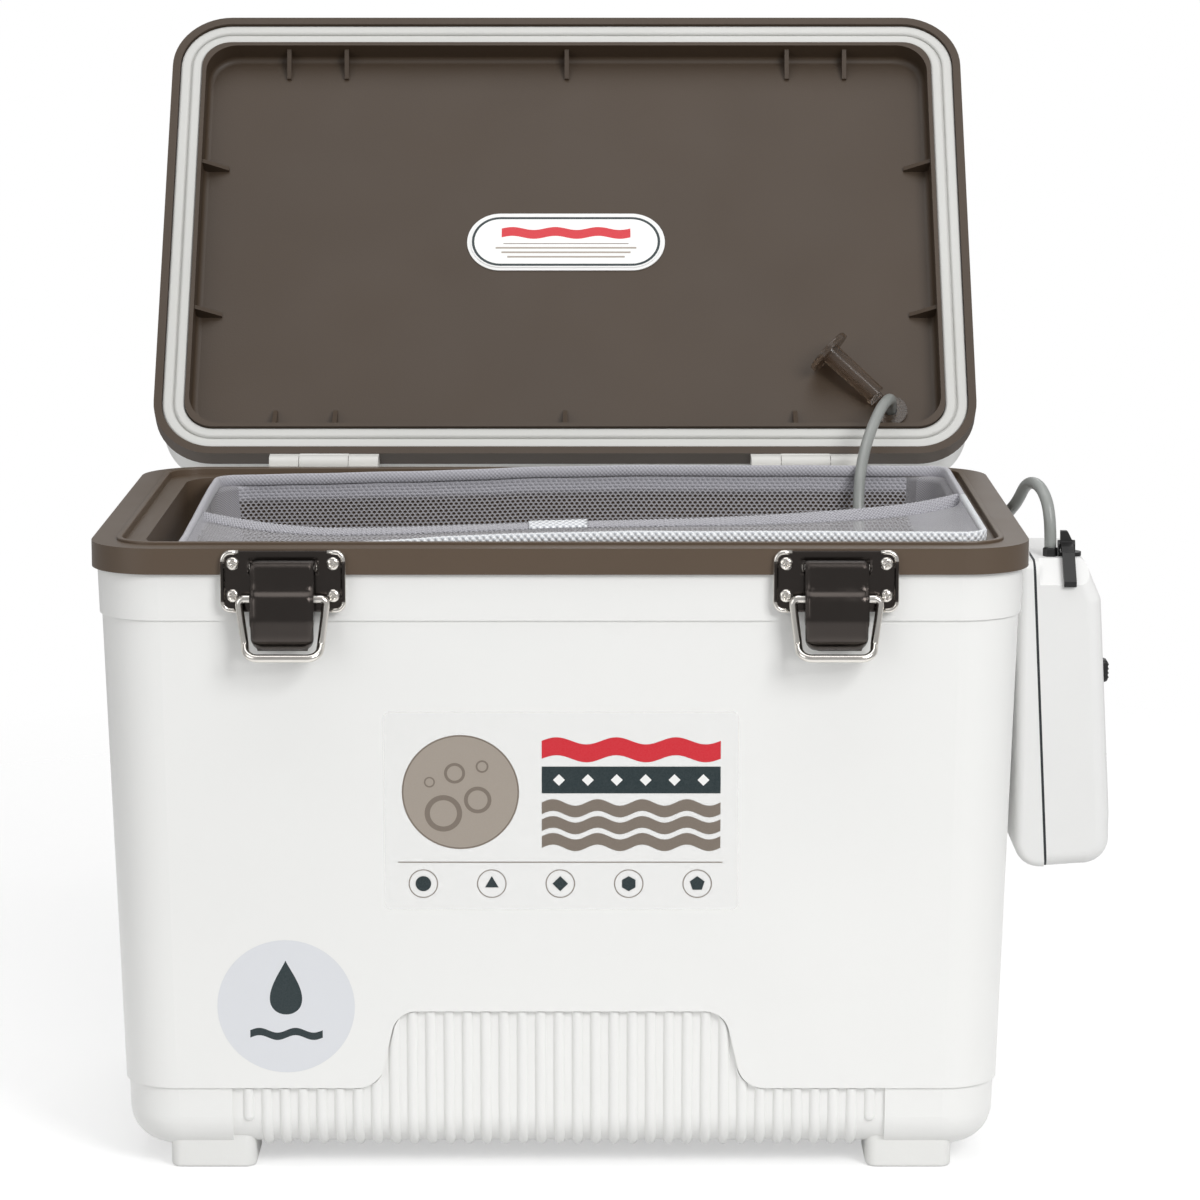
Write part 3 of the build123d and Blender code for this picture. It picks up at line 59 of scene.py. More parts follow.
scene.view_settings.view_transform = "Standard"

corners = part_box("tub_liner")
MIDDLE = -500 * (corners[0] + corners[1])  # the frame's origin in the tub's own frame
MIDDLE.z = 0
HINGE = Vector((0.0, 137.0, 282.5))
OPEN_ANGLE = 127.0
HALF_WIDTH, HALF_DEPTH = 205.0, 131.0  # the collar, from its middle
COLLAR_TOP = 282.0
LATCH_SIDE, HINGE_SIDE = 119.2, 119.0  # from the middle to each latch and each hinge
LID_FOOT = COLLAR_TOP + 0.3
LID_TOP = LID_FOOT + 40.0
PAN_FLOOR = LID_FOOT + 12.5
PORT = Vector((163.0, 100.0, PAN_FLOOR))
LID_SWING = (
    Matrix.Translation(HINGE) @ Matrix.Rotation(radians(-OPEN_ANGLE), 4, "X") @ Matrix.Translation(-HINGE)
)


def place(point):
    """A point of the tub's own frame, in metres in the scene."""
    return (Vector(point) - MIDDLE) / 1000


def on_lid(point):
    """A point of the shut lid, where it stands on the open one."""
    return LID_SWING @ Vector(point)


# ---------------------------------------------------------------- materials
def linear(colour):
    """A colour written as sRGB hex, as linear red, green, blue and alpha."""
    parts = [int(colour[i : i + 2], 16) / 255 for i in (1, 3, 5)]
    return [c / 12.92 if c <= 0.04045 else ((c + 0.055) / 1.055) ** 2.4 for c in parts] + [1.0]


def node(tree, kind, values=None, links=None, **settings):
    """Adds a node with its settings, its values by socket, and its links by socket."""
    made = tree.nodes.new(kind)
    for name, value in settings.items():
        setattr(made, name, value)
    for socket, value in (values or {}).items():
        made.inputs[socket].default_value = value
    for socket, source in (links or {}).items():
        tree.links.new(source, made.inputs[socket])
    return made


def start(name, colour, roughness, **values):
    """A new material with its shader: (material, tree, shader)."""
    made = bpy.data.materials.new(name)
    made.use_nodes = True
    tree = made.node_tree
    tree.nodes.clear()
    values = {"Base Color": linear(colour), "Roughness": roughness, **values}
    shader = node(tree, "ShaderNodeBsdfPrincipled", values=values)
    node(tree, "ShaderNodeOutputMaterial", links={"Surface": shader.outputs[0]})
    return made, tree, shader


def maths(tree, operation, *given):
    """A sum on sockets and numbers, as a socket."""
    values = {i: g for i, g in enumerate(given) if not isinstance(g, bpy.types.NodeSocket)}
    links = {i: g for i, g in enumerate(given) if isinstance(g, bpy.types.NodeSocket)}
    return node(tree, "ShaderNodeMath", values, links, operation=operation).outputs[0]


def speckle(tree, size, detail=2.0, stretch=(1, 1, 1)):
    """Smooth noise whose blotches are about size millimetres across, as a socket from 0 to 1."""
    where = node(tree, "ShaderNodeTexCoord").outputs["Object"]
    scale = [1000 * s / size for s in stretch]
    scaled = node(tree, "ShaderNodeMapping", {"Scale": scale}, {"Vector": where}).outputs[0]
    return node(tree, "ShaderNodeTexNoise", {"Scale": 1.0, "Detail": detail}, {"Vector": scaled}).outputs[0]


def spread(tree, source, low, high, start_at=0.3, end_at=0.7):
    """Carries a socket's middle range over to a range of its own."""
    values = {"From Min": start_at, "From Max": end_at, "To Min": low, "To Max": high}
    return node(tree, "ShaderNodeMapRange", values, {"Value": source}).outputs[0]


def two_tone(tree, source, first, second):
    """A colour between two sRGB hex colours, by a socket."""
    values = {6: linear(first), 7: linear(second)}
    return node(tree, "ShaderNodeMix", values, {0: source}, data_type="RGBA").outputs[2]


def relief(tree, shader, source, height, under=None):
    """Lets a socket raise the surface by up to height millimetres."""
    links = {"Height": source}
    if under:
        links["Normal"] = under
    bump = node(tree, "ShaderNodeBump", {"Strength": 1.0, "Distance": height / 1000}, links)
    tree.links.new(bump.outputs[0], shader.inputs["Normal"])


def moulded(name, colour, shade, roughness, grain_size, grain_height, **values):
    """Injection-moulded plastic: a tone that drifts a little, uneven gloss and a fine moulded grain."""
    made, tree, shader = start(name, colour, roughness, **values)
    tone = spread(tree, speckle(tree, 90, 1), 0, 1, 0.1, 0.9)
    tree.links.new(two_tone(tree, tone, colour, shade), shader.inputs["Base Color"])
    gloss = spread(tree, speckle(tree, 40, 1), roughness - 0.03, roughness + 0.04, 0.1, 0.9)
    tree.links.new(gloss, shader.inputs["Roughness"])
    relief(tree, shader, speckle(tree, grain_size, 3), grain_height)
    return made


# White polypropylene, injection-moulded: bright, evenly soft gloss with a faint orange-peel ripple.
white_polypropylene = moulded("white_polypropylene_moulded", "#F2F2F0", "#EFEFED", 0.32, 6.0, 0.012)
# Taupe polypropylene: warm grey-brown with a satin, lightly textured skin.
taupe_polypropylene = moulded("taupe_polypropylene_moulded", "#5B4C3E", "#56483A", 0.38, 1.2, 0.02)
# The lid's pan is the same plastic from a spark-textured mould, so it looks darker and flatter.
taupe_textured = moulded("taupe_polypropylene_textured", "#443628", "#3F3225", 0.52, 0.9, 0.04)
# ABS for the pump's case: a touch cooler and glossier than the tub.
white_abs = moulded("white_abs_moulded", "#EDEDEC", "#E9E9E8", 0.40, 6.0, 0.02)
# The hinges' nylon stands in the lid's shade, so its colour is painted a little greyer as painted shade.
white_nylon = moulded("white_nylon_moulded", "#D4D3CF", "#CECDC9", 0.35, 6.0, 0.02)
# Silicone seal, extruded: pale warm grey, soft gloss; its colour is darkened a little as painted shade.
pale_silicone = moulded("pale_silicone_extruded", "#CFCFCC", "#C6C6C2", 0.48, 1.5, 0.03)
# Rubber feet: off-white with a dull skin.
pale_rubber = moulded("pale_rubber_moulded", "#ECECEA", "#E6E6E3", 0.55, 1.0, 0.04)
# Black nylon: satin, with a slight grain.
black_nylon = moulded("black_nylon_moulded", "#141414", "#1B1B1B", 0.38, 0.8, 0.03)
# Dark foam-rubber seal in the pump's seam.
dark_rubber = moulded("dark_rubber_seal", "#22262A", "#1A1D20", 0.6, 0.8, 0.04)
# Natural acetal drive parts and the green board.
acetal = moulded("acetal_moulded", "#DCDAD0", "#D5D3C8", 0.35, 1.0, 0.02)
board_green = moulded("glass_epoxy_laminate", "#1F6B3A", "#1A5F33", 0.35, 0.6, 0.02)
# Cut polyurethane foam.
foam_yellow = moulded("polyurethane_foam_cut", "#E3D7AE", "#D3C594", 0.9, 1.2, 0.3)


def metal(name, colour, roughness, brush, depth, edge=0.3):
    """Steel: a mirror dulled by fine polishing lines along X, with faint smears and edges rounded by a tumbler."""
    made, tree, shader = start(name, colour, roughness, Metallic=1.0)
    lines = speckle(tree, 0.5, 2, (1 / brush, 1, 1))
    smears = spread(tree, speckle(tree, 9, 3), roughness - 0.03, roughness + 0.08)
    tree.links.new(smears, shader.inputs["Roughness"])
    soft_edge = node(tree, "ShaderNodeBevel", {"Radius": edge / 1000}, samples=8).outputs[0]
    relief(tree, shader, lines, depth, under=soft_edge)
    return made


# Stainless steel for the latches, buffed almost to a mirror; its base colour is painted dark, a painted reflection
# of dark surroundings.
stainless_painted_dark_reflection = metal("stainless_steel_painted_dark_reflection", "#4A4542", 0.16, 30, 0.002, 1.6)
# The levers are pressed deeper from the same sheet, so their shoulders are rounder and catch the light; their
# colour is the same painted dark reflection.
pressed_stainless_painted_dark_reflection = metal("stainless_steel_pressed_painted_dark_reflection", "#4A4542", 0.15, 30, 0.002, 3.0)
# Drawn stainless pins, bail wire and screws: brighter, with fine draw marks.
bright_stainless = metal("stainless_steel_drawn", "#DEDAD4", 0.2, 12, 0.003)
# Zinc-plated motor can and nickel-plated strips.
plated_steel = metal("steel_nickel_plated", "#A8A69F", 0.28, 8, 0.004)


def smoke_pvc():
    """Flexible PVC, moulded and smoke-brown: light goes through its thin parts, and its skin is glossy."""
    made, tree, shader = start("pvc_soft_smoke_brown", "#8E7B6A", 0.2)
    shader.inputs["Transmission Weight"].default_value = 0.85
    shader.inputs["IOR"].default_value = 1.52
    relief(tree, shader, speckle(tree, 2.0, 2), 0.03)
    return made


def grey_silicone():
    """Silicone airline, extruded: milky grey, half clear, with a soft waxy gloss."""
    made, tree, shader = start("silicone_airline_extruded", "#A3A6A3", 0.36)
    tone = spread(tree, speckle(tree, 30, 2), 0, 1)
    tree.links.new(two_tone(tree, tone, "#A6A9A6", "#989B98"), shader.inputs["Base Color"])
    shader.inputs["Subsurface Weight"].default_value = 0.25
    shader.inputs["Subsurface Radius"].default_value = (0.003, 0.003, 0.003)
    shader.inputs["Transmission Weight"].default_value = 0.18
    relief(tree, shader, speckle(tree, 1.5, 2), 0.02)
    return made


def bonded_grit():
    """Airstone: mineral grains of about half a millimetre bonded together, dull and pitted."""
    made, tree, shader = start("mineral_grit_bonded", "#6C7C8C", 0.85)
    where = node(tree, "ShaderNodeTexCoord").outputs["Object"]
    grains = node(tree, "ShaderNodeTexVoronoi", {"Scale": 1300.0}, {"Vector": where}).outputs["Distance"]
    tree.links.new(two_tone(tree, grains, "#5C6C7C", "#8795A2"), shader.inputs["Base Color"])
    relief(tree, shader, grains, 0.4)
    return made


def cell_jacket():
    """Battery can under a plain shrunk jacket: dark below, a plain copper-coloured shoulder above."""
    made, tree, shader = start("steel_can_printed_jacket", "#1C1D20", 0.3, Metallic=0.4)
    where = node(tree, "ShaderNodeTexCoord").outputs["Object"]
    height = node(tree, "ShaderNodeSeparateXYZ", links={"Vector": where}).outputs["Z"]
    shoulder = spread(tree, height, 0, 1, 0.1590, 0.1592)
    tree.links.new(two_tone(tree, shoulder, "#1C1D20", "#B07A4A"), shader.inputs["Base Color"])
    relief(tree, shader, speckle(tree, 3, 2), 0.02)
    return made


def weave(tree, across, along, pitch):
    """A plain weave's over and under, as a socket from 0 to 1, from two lengths in millimetres."""
    waves = [maths(tree, "SINE", maths(tree, "MULTIPLY", length, tau / pitch)) for length in (across, along)]
    return maths(tree, "MULTIPLY_ADD", maths(tree, "MULTIPLY", *waves), 0.5, 0.5)


def lengths(tree):
    """The piece's own UV lengths in millimetres, as two sockets."""
    laid = node(tree, "ShaderNodeUVMap", uv_map="lay")
    scaled = node(tree, "ShaderNodeVectorMath", {"Scale": 1000.0}, {0: laid.outputs[0]}, operation="SCALE")
    split = node(tree, "ShaderNodeSeparateXYZ", links={"Vector": scaled.outputs[0]})
    return scaled.outputs[0], split.outputs["X"], split.outputs["Y"]


def hexagons(tree, laid, pitch):
    """How near a point lies to the border of its hexagon: 0 in the middle of the hole, 1 on the border."""
    half = (pitch / 2, pitch * 3**0.5 / 2, 0.5)

    def vector(operation, source, *values):
        given = dict(enumerate(values, start=1))
        return node(tree, "ShaderNodeVectorMath", given, {0: source}, operation=operation).outputs

    nearest = []
    for shift in ((0, 0, 0), (*half[:2], 0)):
        moved = vector("ADD", laid, shift)[0]
        wrapped = vector("WRAP", moved, half, tuple(-h for h in half))[0]
        flat = vector("MULTIPLY", wrapped, (1 / pitch, 1 / pitch, 0))[0]
        positive = vector("ABSOLUTE", flat)[0]
        slanted = vector("DOT_PRODUCT", positive, (0.5, 3**0.5 / 2, 0))["Value"]
        across = node(tree, "ShaderNodeSeparateXYZ", links={"Vector": positive}).outputs["X"]
        nearest.append(maths(tree, "MAXIMUM", slanted, across))
    return maths(tree, "MULTIPLY", maths(tree, "MINIMUM", *nearest), 2.0)


def knitted_mesh(name, fold_from=None):
    """Polyester mesh, warp-knitted in hexagons: open holes between fuzzy white yarn, closed where it is doubled."""
    pitch = 2.5
    made, tree, shader = start(name, "#A3A1A5", 0.75)
    laid, _, up = lengths(tree)
    drawn_wide = node(tree, "ShaderNodeVectorMath", {1: (1.0, 1.35, 1.0)}, {0: laid}, operation="MULTIPLY")
    border = hexagons(tree, drawn_wide.outputs[0], pitch)
    yarn = spread(tree, border, 0, 1, 0.50, 0.78)
    if fold_from is not None:
        doubled = spread(tree, up, 0, 1, fold_from, fold_from + 3)
        half_open = maths(tree, "MULTIPLY", doubled, 0.84)
        tree.links.new(two_tone(tree, doubled, "#A3A1A5", "#B4B3BA"), shader.inputs["Base Color"])
        yarn = maths(tree, "MAXIMUM", yarn, half_open)
    tree.links.new(yarn, shader.inputs["Alpha"])
    shader.inputs["Sheen Weight"].default_value = 0.3
    shader.inputs["Subsurface Weight"].default_value = 0.2
    shader.inputs["Subsurface Radius"].default_value = (0.002, 0.002, 0.002)
    relief(tree, shader, border, 0.5)
    return made


def sheer_cloth():
    """Fine polyester gauze at the net's ends: too dense to show holes, so it reads as milky and half clear."""
    made, tree, shader = start("polyester_gauze_sheer", "#B4B3B9", 0.6)
    _, across, up = lengths(tree)
    threads = weave(tree, across, up, 1.1)
    tree.links.new(spread(tree, threads, 0.45, 0.78, 0.2, 0.8), shader.inputs["Alpha"])
    shader.inputs["Sheen Weight"].default_value = 0.3
    relief(tree, shader, threads, 0.15)
    return made


def woven_webbing(name, colour, shadow, pitch, height):
    """White polyester binding, woven: a raised over-and-under whose shadows read at arm's length."""
    made, tree, shader = start(name, colour, 0.7)
    _, across, up = lengths(tree)
    threads = weave(tree, across, up, pitch)
    raised = spread(tree, threads, 0, 1, 0.1, 0.7)
    # The weave's low places take the shadow colour: painted shade.
    tree.links.new(two_tone(tree, raised, shadow, colour), shader.inputs["Base Color"])
    shader.inputs["Sheen Weight"].default_value = 0.4
    relief(tree, shader, threads, height)
    return made


soft_smoke = smoke_pvc()
airline = grey_silicone()
grit = bonded_grit()
jacket = cell_jacket()
net_wall = knitted_mesh("polyester_mesh_knitted_walls", fold_from=227.0)
net_roof = knitted_mesh("polyester_mesh_knitted_cover")
gauze = sheer_cloth()
binding = woven_webbing("polyester_binding_woven", "#F8FAFC", "#BFC3CA", 3.0, 0.9)
# The same binding painted greyer, as painted shade, for the hem's back and left, which stand in shade.
shaded_binding = woven_webbing("polyester_binding_painted_shade", "#B2B1B8", "#A5A4AB", 2.0, 0.25)
elastic_webbing = woven_webbing("polyester_elastic_gathered", "#B4B3B9", "#8F8E95", 1.6, 0.4)

# ---------------------------------------------------------------- floor, light and camera
CAMERA = (17.4, -1895.0, 557.0)
CAMERA_DOWN = 9.57
LENS = 124.4
FLOOR_GLOW, ROOM_LIGHT = 0.48, 0.42
FLOOR_FADES = (0.42, 0.95)  # metres from the middle of the floor


def white_room():
    """A plain white room: the floor keeps the object's shadow, and light comes soft from above and both sides."""
    made, tree, shader = start("floor_white_paper", "#D6D6D6", 0.9)
    seen = node(tree, "ShaderNodeLightPath")
    looks = maths(tree, "MAXIMUM", seen.outputs["Is Camera Ray"], seen.outputs["Is Glossy Ray"])
    glow = maths(tree, "MULTIPLY", looks, FLOOR_GLOW)
    emission = node(tree, "ShaderNodeEmission", {"Color": linear("#FFFFFF")}, {"Strength": glow})
    both = node(tree, "ShaderNodeAddShader", links={0: shader.outputs[0], 1: emission.outputs[0]})
    where = node(tree, "ShaderNodeTexCoord").outputs["Object"]
    away = node(tree, "ShaderNodeVectorMath", links={0: where}, operation="LENGTH").outputs["Value"]
    edge = spread(tree, away, 0, 1, *FLOOR_FADES)
    clear = node(tree, "ShaderNodeBsdfTransparent", {"Color": linear("#FFFFFF")})
    faded = node(tree, "ShaderNodeMixShader", links={0: edge, 1: both.outputs[0], 2: clear.outputs[0]})
    tree.links.new(faded.outputs[0], tree.nodes["Material Output"].inputs["Surface"])
    mesh = bpy.data.meshes.new("floor")
    mesh.from_pydata([(-6, -6, 0), (6, -6, 0), (6, 6, 0), (-6, 6, 0)], [], [(0, 1, 2, 3)])
    floor_plane = bpy.data.objects.new("floor", mesh)
    scene.collection.objects.link(floor_plane)
    mesh.materials.append(made)

    world = bpy.data.worlds.new("room")
    scene.world = world
    world.use_nodes = True
    tree = world.node_tree
    tree.nodes.clear()
    seen = node(tree, "ShaderNodeLightPath")
    looks = maths(tree, "MAXIMUM", seen.outputs["Is Camera Ray"], seen.outputs["Is Transmission Ray"])
    lit = node(tree, "ShaderNodeBackground", {"Color": linear("#FFFFFF"), "Strength": ROOM_LIGHT})
    white = node(tree, "ShaderNodeBackground", {"Color": linear("#FFFFFF"), "Strength": 1.0})
    both = node(tree, "ShaderNodeMixShader", links={0: looks, 1: lit.outputs[0], 2: white.outputs[0]})
    node(tree, "ShaderNodeOutputWorld", links={"Surface": both.outputs[0]})


def lamp(name, where, target, size, power):
    """A square soft box that faces a target, both in millimetres."""
    data = bpy.data.lights.new(name, "AREA")
    data.size = size / 1000
    data.energy = power
    made = bpy.data.objects.new(name, data)
    scene.collection.objects.link(made)
    made.location = place(where)
    made.rotation_euler = (place(target) - made.location).to_track_quat("-Z", "Y").to_euler()


white_room()
lamp("key", (1000, -1500, 1250), (20, 0, 180), 800, 22)
lamp("fill", (-1300, -1300, 700), (0, 0, 200), 1100, 6)
lamp("top", (0, -150, 1700), (0, 50, 300), 1200, 8)
lamp("back", (200, 1500, 1200), (0, 200, 300), 900, 3)
camera = bpy.data.objects.new("camera", bpy.data.cameras.new("camera"))
scene.collection.objects.link(camera)
camera.data.sensor_width = 36
camera.data.lens = LENS
camera.data.clip_end = 20
camera.location = place(CAMERA)
camera.rotation_euler = (radians(90 - CAMERA_DOWN), 0, 0)
scene.camera = camera


# ---------------------------------------------------------------- making pieces
def finish(name, mesh, materials, body, stands_for=None, smooth=True):
    """Files a finished mesh as a piece that rides on a body and may take the place of a node of the model."""
    made = bpy.data.objects.new(name, mesh)
    scene.collection.objects.link(made)
    for each in materials if isinstance(materials, tuple) else (materials,):
        mesh.materials.append(each)
    mesh.shade_smooth() if smooth else mesh.shade_flat()
    if body:
        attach(made, body)
    if stands_for:
        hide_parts(stands_for)
    return made


def mesh_of(name, points, faces, lay=None):
    """A mesh from points in the tub's own millimetres; lay gives each point's place on the flat cloth."""
    mesh = bpy.data.meshes.new(name)
    mesh.from_pydata([place(p) for p in points], [], faces)
    if lay:
        layer = mesh.uv_layers.new(name="lay")
        for loop in mesh.loops:
            u, v = lay[loop.vertex_index]
            layer.data[loop.index].uv = (u / 1000, v / 1000)
    return mesh


def mesh_from(name, made):
    """Turns a BMesh into a mesh with its faces outward, and frees it."""
    bmesh.ops.recalc_face_normals(made, faces=made.faces)
    mesh = bpy.data.meshes.new(name)
    made.to_mesh(mesh)
    made.free()
    return mesh


def skin_over(made, rings):
    """Joins closed rings of vertices one to the next, and closes both ends."""
    for a, b in zip(rings, rings[1:]):
        for k in range(len(a)):
            m = (k + 1) % len(a)
            made.faces.new((a[k], a[m], b[m], b[k]))
    made.faces.new(list(reversed(rings[0])))
    made.faces.new(rings[-1])


def grid_faces(rows, columns, closed=False):
    """Quads between rows of as many points each, joined end to start where the rows are loops."""
    faces = []
    for r in range(rows - 1):
        for c in range(columns if closed else columns - 1):
            d = (c + 1) % columns
            faces.append((r * columns + c, r * columns + d, (r + 1) * columns + d, (r + 1) * columns + c))
    return faces


def rounded(half_x, half_y, radius, long_steps, short_steps, corner_steps):
    """A rounded rectangle's points, anticlockwise from the right of its front edge."""
    points = []
    turns = (
        (1, -1, -90, short_steps), (1, 1, 0, long_steps), (-1, 1, 90, short_steps), (-1, -1, 180, long_steps),
    )

    def on_corner(side_x, side_y, degrees):
        angle = radians(degrees)
        return side_x * (half_x - radius) + radius * cos(angle), side_y * (half_y - radius) + radius * sin(angle)

    for index, (side_x, side_y, turn, steps) in enumerate(turns):
        points += [on_corner(side_x, side_y, turn + 90 * k / corner_steps) for k in range(corner_steps + 1)]
        last, goal = points[-1], on_corner(*turns[(index + 1) % 4][:3])
        points += [tuple(a + (b - a) * k / steps for a, b in zip(last, goal)) for k in range(1, steps)]
    return points


def girth(points):
    """How far round the loop each point lies, and the whole way round."""
    gone = [0.0]
    for a, b in zip(points, points[1:] + points[:1]):
        gone.append(gone[-1] + hypot(b[0] - a[0], b[1] - a[1]))
    return gone


# ---------------------------------------------------------------- air hose
HOSE_DIAMETER = 5.5
PUMP_TOP = 262.0
OUTLET = (223.0, -24.0, PUMP_TOP + 4.0)
PORT_OUTSIDE = on_lid((PORT.x, PORT.y, LID_TOP + 1.6))
PORT_INSIDE = on_lid((PORT.x, PORT.y, PAN_FLOOR - 1.6))
INTO_PORT = (PORT_INSIDE - PORT_OUTSIDE).normalized()
outer_route = [
    OUTLET,
    (223, -24, 281.5),
    (219.6, -13.1, 292.9),
    (214.7, 2.2, 292.9),
    (211.3, 13.1, 281.5),
    (208.7, 26, 275),
    (209.8, 50, 269),
    (211, 79, 262),
    (212.5, 112, 257),
    (213.5, 147, 254),
    (210, 180, 251),
    (198, 208, 249),
    (177, 216, 256),
    tuple(PORT_OUTSIDE - INTO_PORT * 20),
    tuple(PORT_OUTSIDE),
]
inner_route = [
    tuple(PORT_INSIDE),
    tuple(PORT_INSIDE + INTO_PORT * 10),
    (160, 146, 314),
    (154, 130, 309),
    (146, 108, 294),
    (142, 91, 275),
    (143, 82, 238),
    (147, 80, 205),
    (148, 80, 190),
    (148, 80, 172),
]


def hose_line(name, route):
    """Points along the hose's own smooth curve, in metres."""
    data = bpy.data.curves.new(name, "CURVE")
    data.dimensions = "3D"
    data.resolution_u = 12
    spline = data.splines.new("NURBS")
    spline.points.add(len(route) - 1)
    for point, where in zip(spline.points, route):
        point.co = (*place(where), 1)
    spline.order_u = 3
    spline.use_endpoint_u = True
    curve = bpy.data.objects.new(name, data)
    scene.collection.objects.link(curve)
    bpy.context.view_layer.update()
    line = bpy.data.meshes.new_from_object(curve)
    points = [v.co.copy() for v in line.vertices]
    bpy.data.objects.remove(curve)
    return points


def tube(points, radius, sides=20):
    """A round tube's mesh along points in metres, without twist, with closed ends."""
    made = bmesh.new()
    forward = (points[1] - points[0]).normalized()
    across = forward.orthogonal().normalized()
    rings = []
    for index, point in enumerate(points):
        ahead = points[min(index + 1, len(points) - 1)] - points[max(index - 1, 0)]
        turn = forward.rotation_difference(ahead.normalized())
        across = turn @ across
        forward = ahead.normalized()
        up = forward.cross(across).normalized()
        rings.append([
            made.verts.new(point + radius * (cos(tau * k / sides) * across + sin(tau * k / sides) * up))
            for k in range(sides)
        ])
    skin_over(made, rings)
    return mesh_from("tube", made)


def hose(name, route, start_at, end_at, first, last, **facts):
    """One run of the airline, from its route to a round tube that takes the place of the model's hose node."""
    line = hose_line(name, route)
    mesh = tube(line, HOSE_DIAMETER / 2000)
    made = finish(name, mesh, airline, None, name.replace("airline", "hose"))
    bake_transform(made)


hose("airline_outer", outer_route, OUTLET, PORT_OUTSIDE, "tub", "lid", far_end="object", lay="loose")
hose(
    "airline_inner", inner_route, (148, 80, 200), PORT_INSIDE, "tub", "lid",
    far_end="fitting", lay="hanging", with_pieces=["airstone"],
)

# ---------------------------------------------------------------- net
NET_LEFT, NET_RIGHT, NET_FRONT, NET_BACK = -169.0, 186.3, -110.6, 105.0
NET_FLOOR = 37.4
FLOOR_HALF = (150, 92)
MOUTH_INSET, LINER_DRAFT = 22.5, 0.0437  # the liner's opening at the collar, and how much it narrows per mm down
HEM = 5.2  # the binding's height
BAND = 6.5  # the elastic edge's width
# The hem's upper edge: heights at places along X.
hem_tops = ((-169, 281.4), (-66, 283.6), (-23, 285.3), (30, 286.5), (90, 286.4), (187, 286.1))
# The elastic edge's route from the left end to the right, and its lean in degrees at places along X.
band_route = (
    (-168.5, 8, 275.5), (-150, -8, 274.2), (-115, -25, 272.9), (-77, -32, 274.4), (-40, -31, 275.6),
    (0, -28, 276.6), (45, -28, 277.6), (90, -29, 278.8), (143, -20, 280.6), (170, -6, 281.8), (184.5, 12, 282.6),
)
band_leans = ((-169, 30), (-115, 24), (0, 16), (60, 24), (140, 50), (187, 58))


def between(table, x):
    """A value read off a table of (place, value) pairs, straight between them."""
    for (x0, v0), (x1, v1) in zip(table, table[1:]):
        if x <= x1:
            return v0 + (v1 - v0) * max(0.0, (x - x0) / (x1 - x0))
    return table[-1][1]


def outline(left, right, front, back, radius):
    """A rounded rectangle's points between four sides."""
    middle = ((left + right) / 2, (front + back) / 2)
    loop = rounded((right - left) / 2, (back - front) / 2, radius, 64, 38, 6)
    return [(x + middle[0], y + middle[1]) for x, y in loop]


def liner_at(z, gap):
    """The four inner sides of the liner's opening at a height, each moved in by a gap."""
    inset = MOUTH_INSET + (COLLAR_TOP - z) * LINER_DRAFT + gap
    return -HALF_WIDTH + inset, HALF_WIDTH - inset, -HALF_DEPTH + inset, HALF_DEPTH - inset


def net_ring(inset=0.0):
    """The hem's middle line in plan, moved in by a distance, with the slight unevenness of a sewn hem."""
    loop = outline(NET_LEFT + inset, NET_RIGHT - inset, NET_FRONT + inset, NET_BACK - inset, 11 - inset)
    uneven = [0.5 * noise.noise(Vector((x / 34, y / 34, 7))) for x, y in loop]
    return [(x, y + (u if abs(y) > 95 else 0)) for (x, y), u in zip(loop, uneven)]


def hem_top(x, y):
    """The height of the hem's upper edge."""
    sunk = 4.0 * min(1, max(0, (-50 - x) / 110)) * min(1, max(0, 0.5 - y / 120))
    return between(hem_tops, x) - sunk + 0.25 * noise.noise(Vector((x / 26, y / 26, 2)))


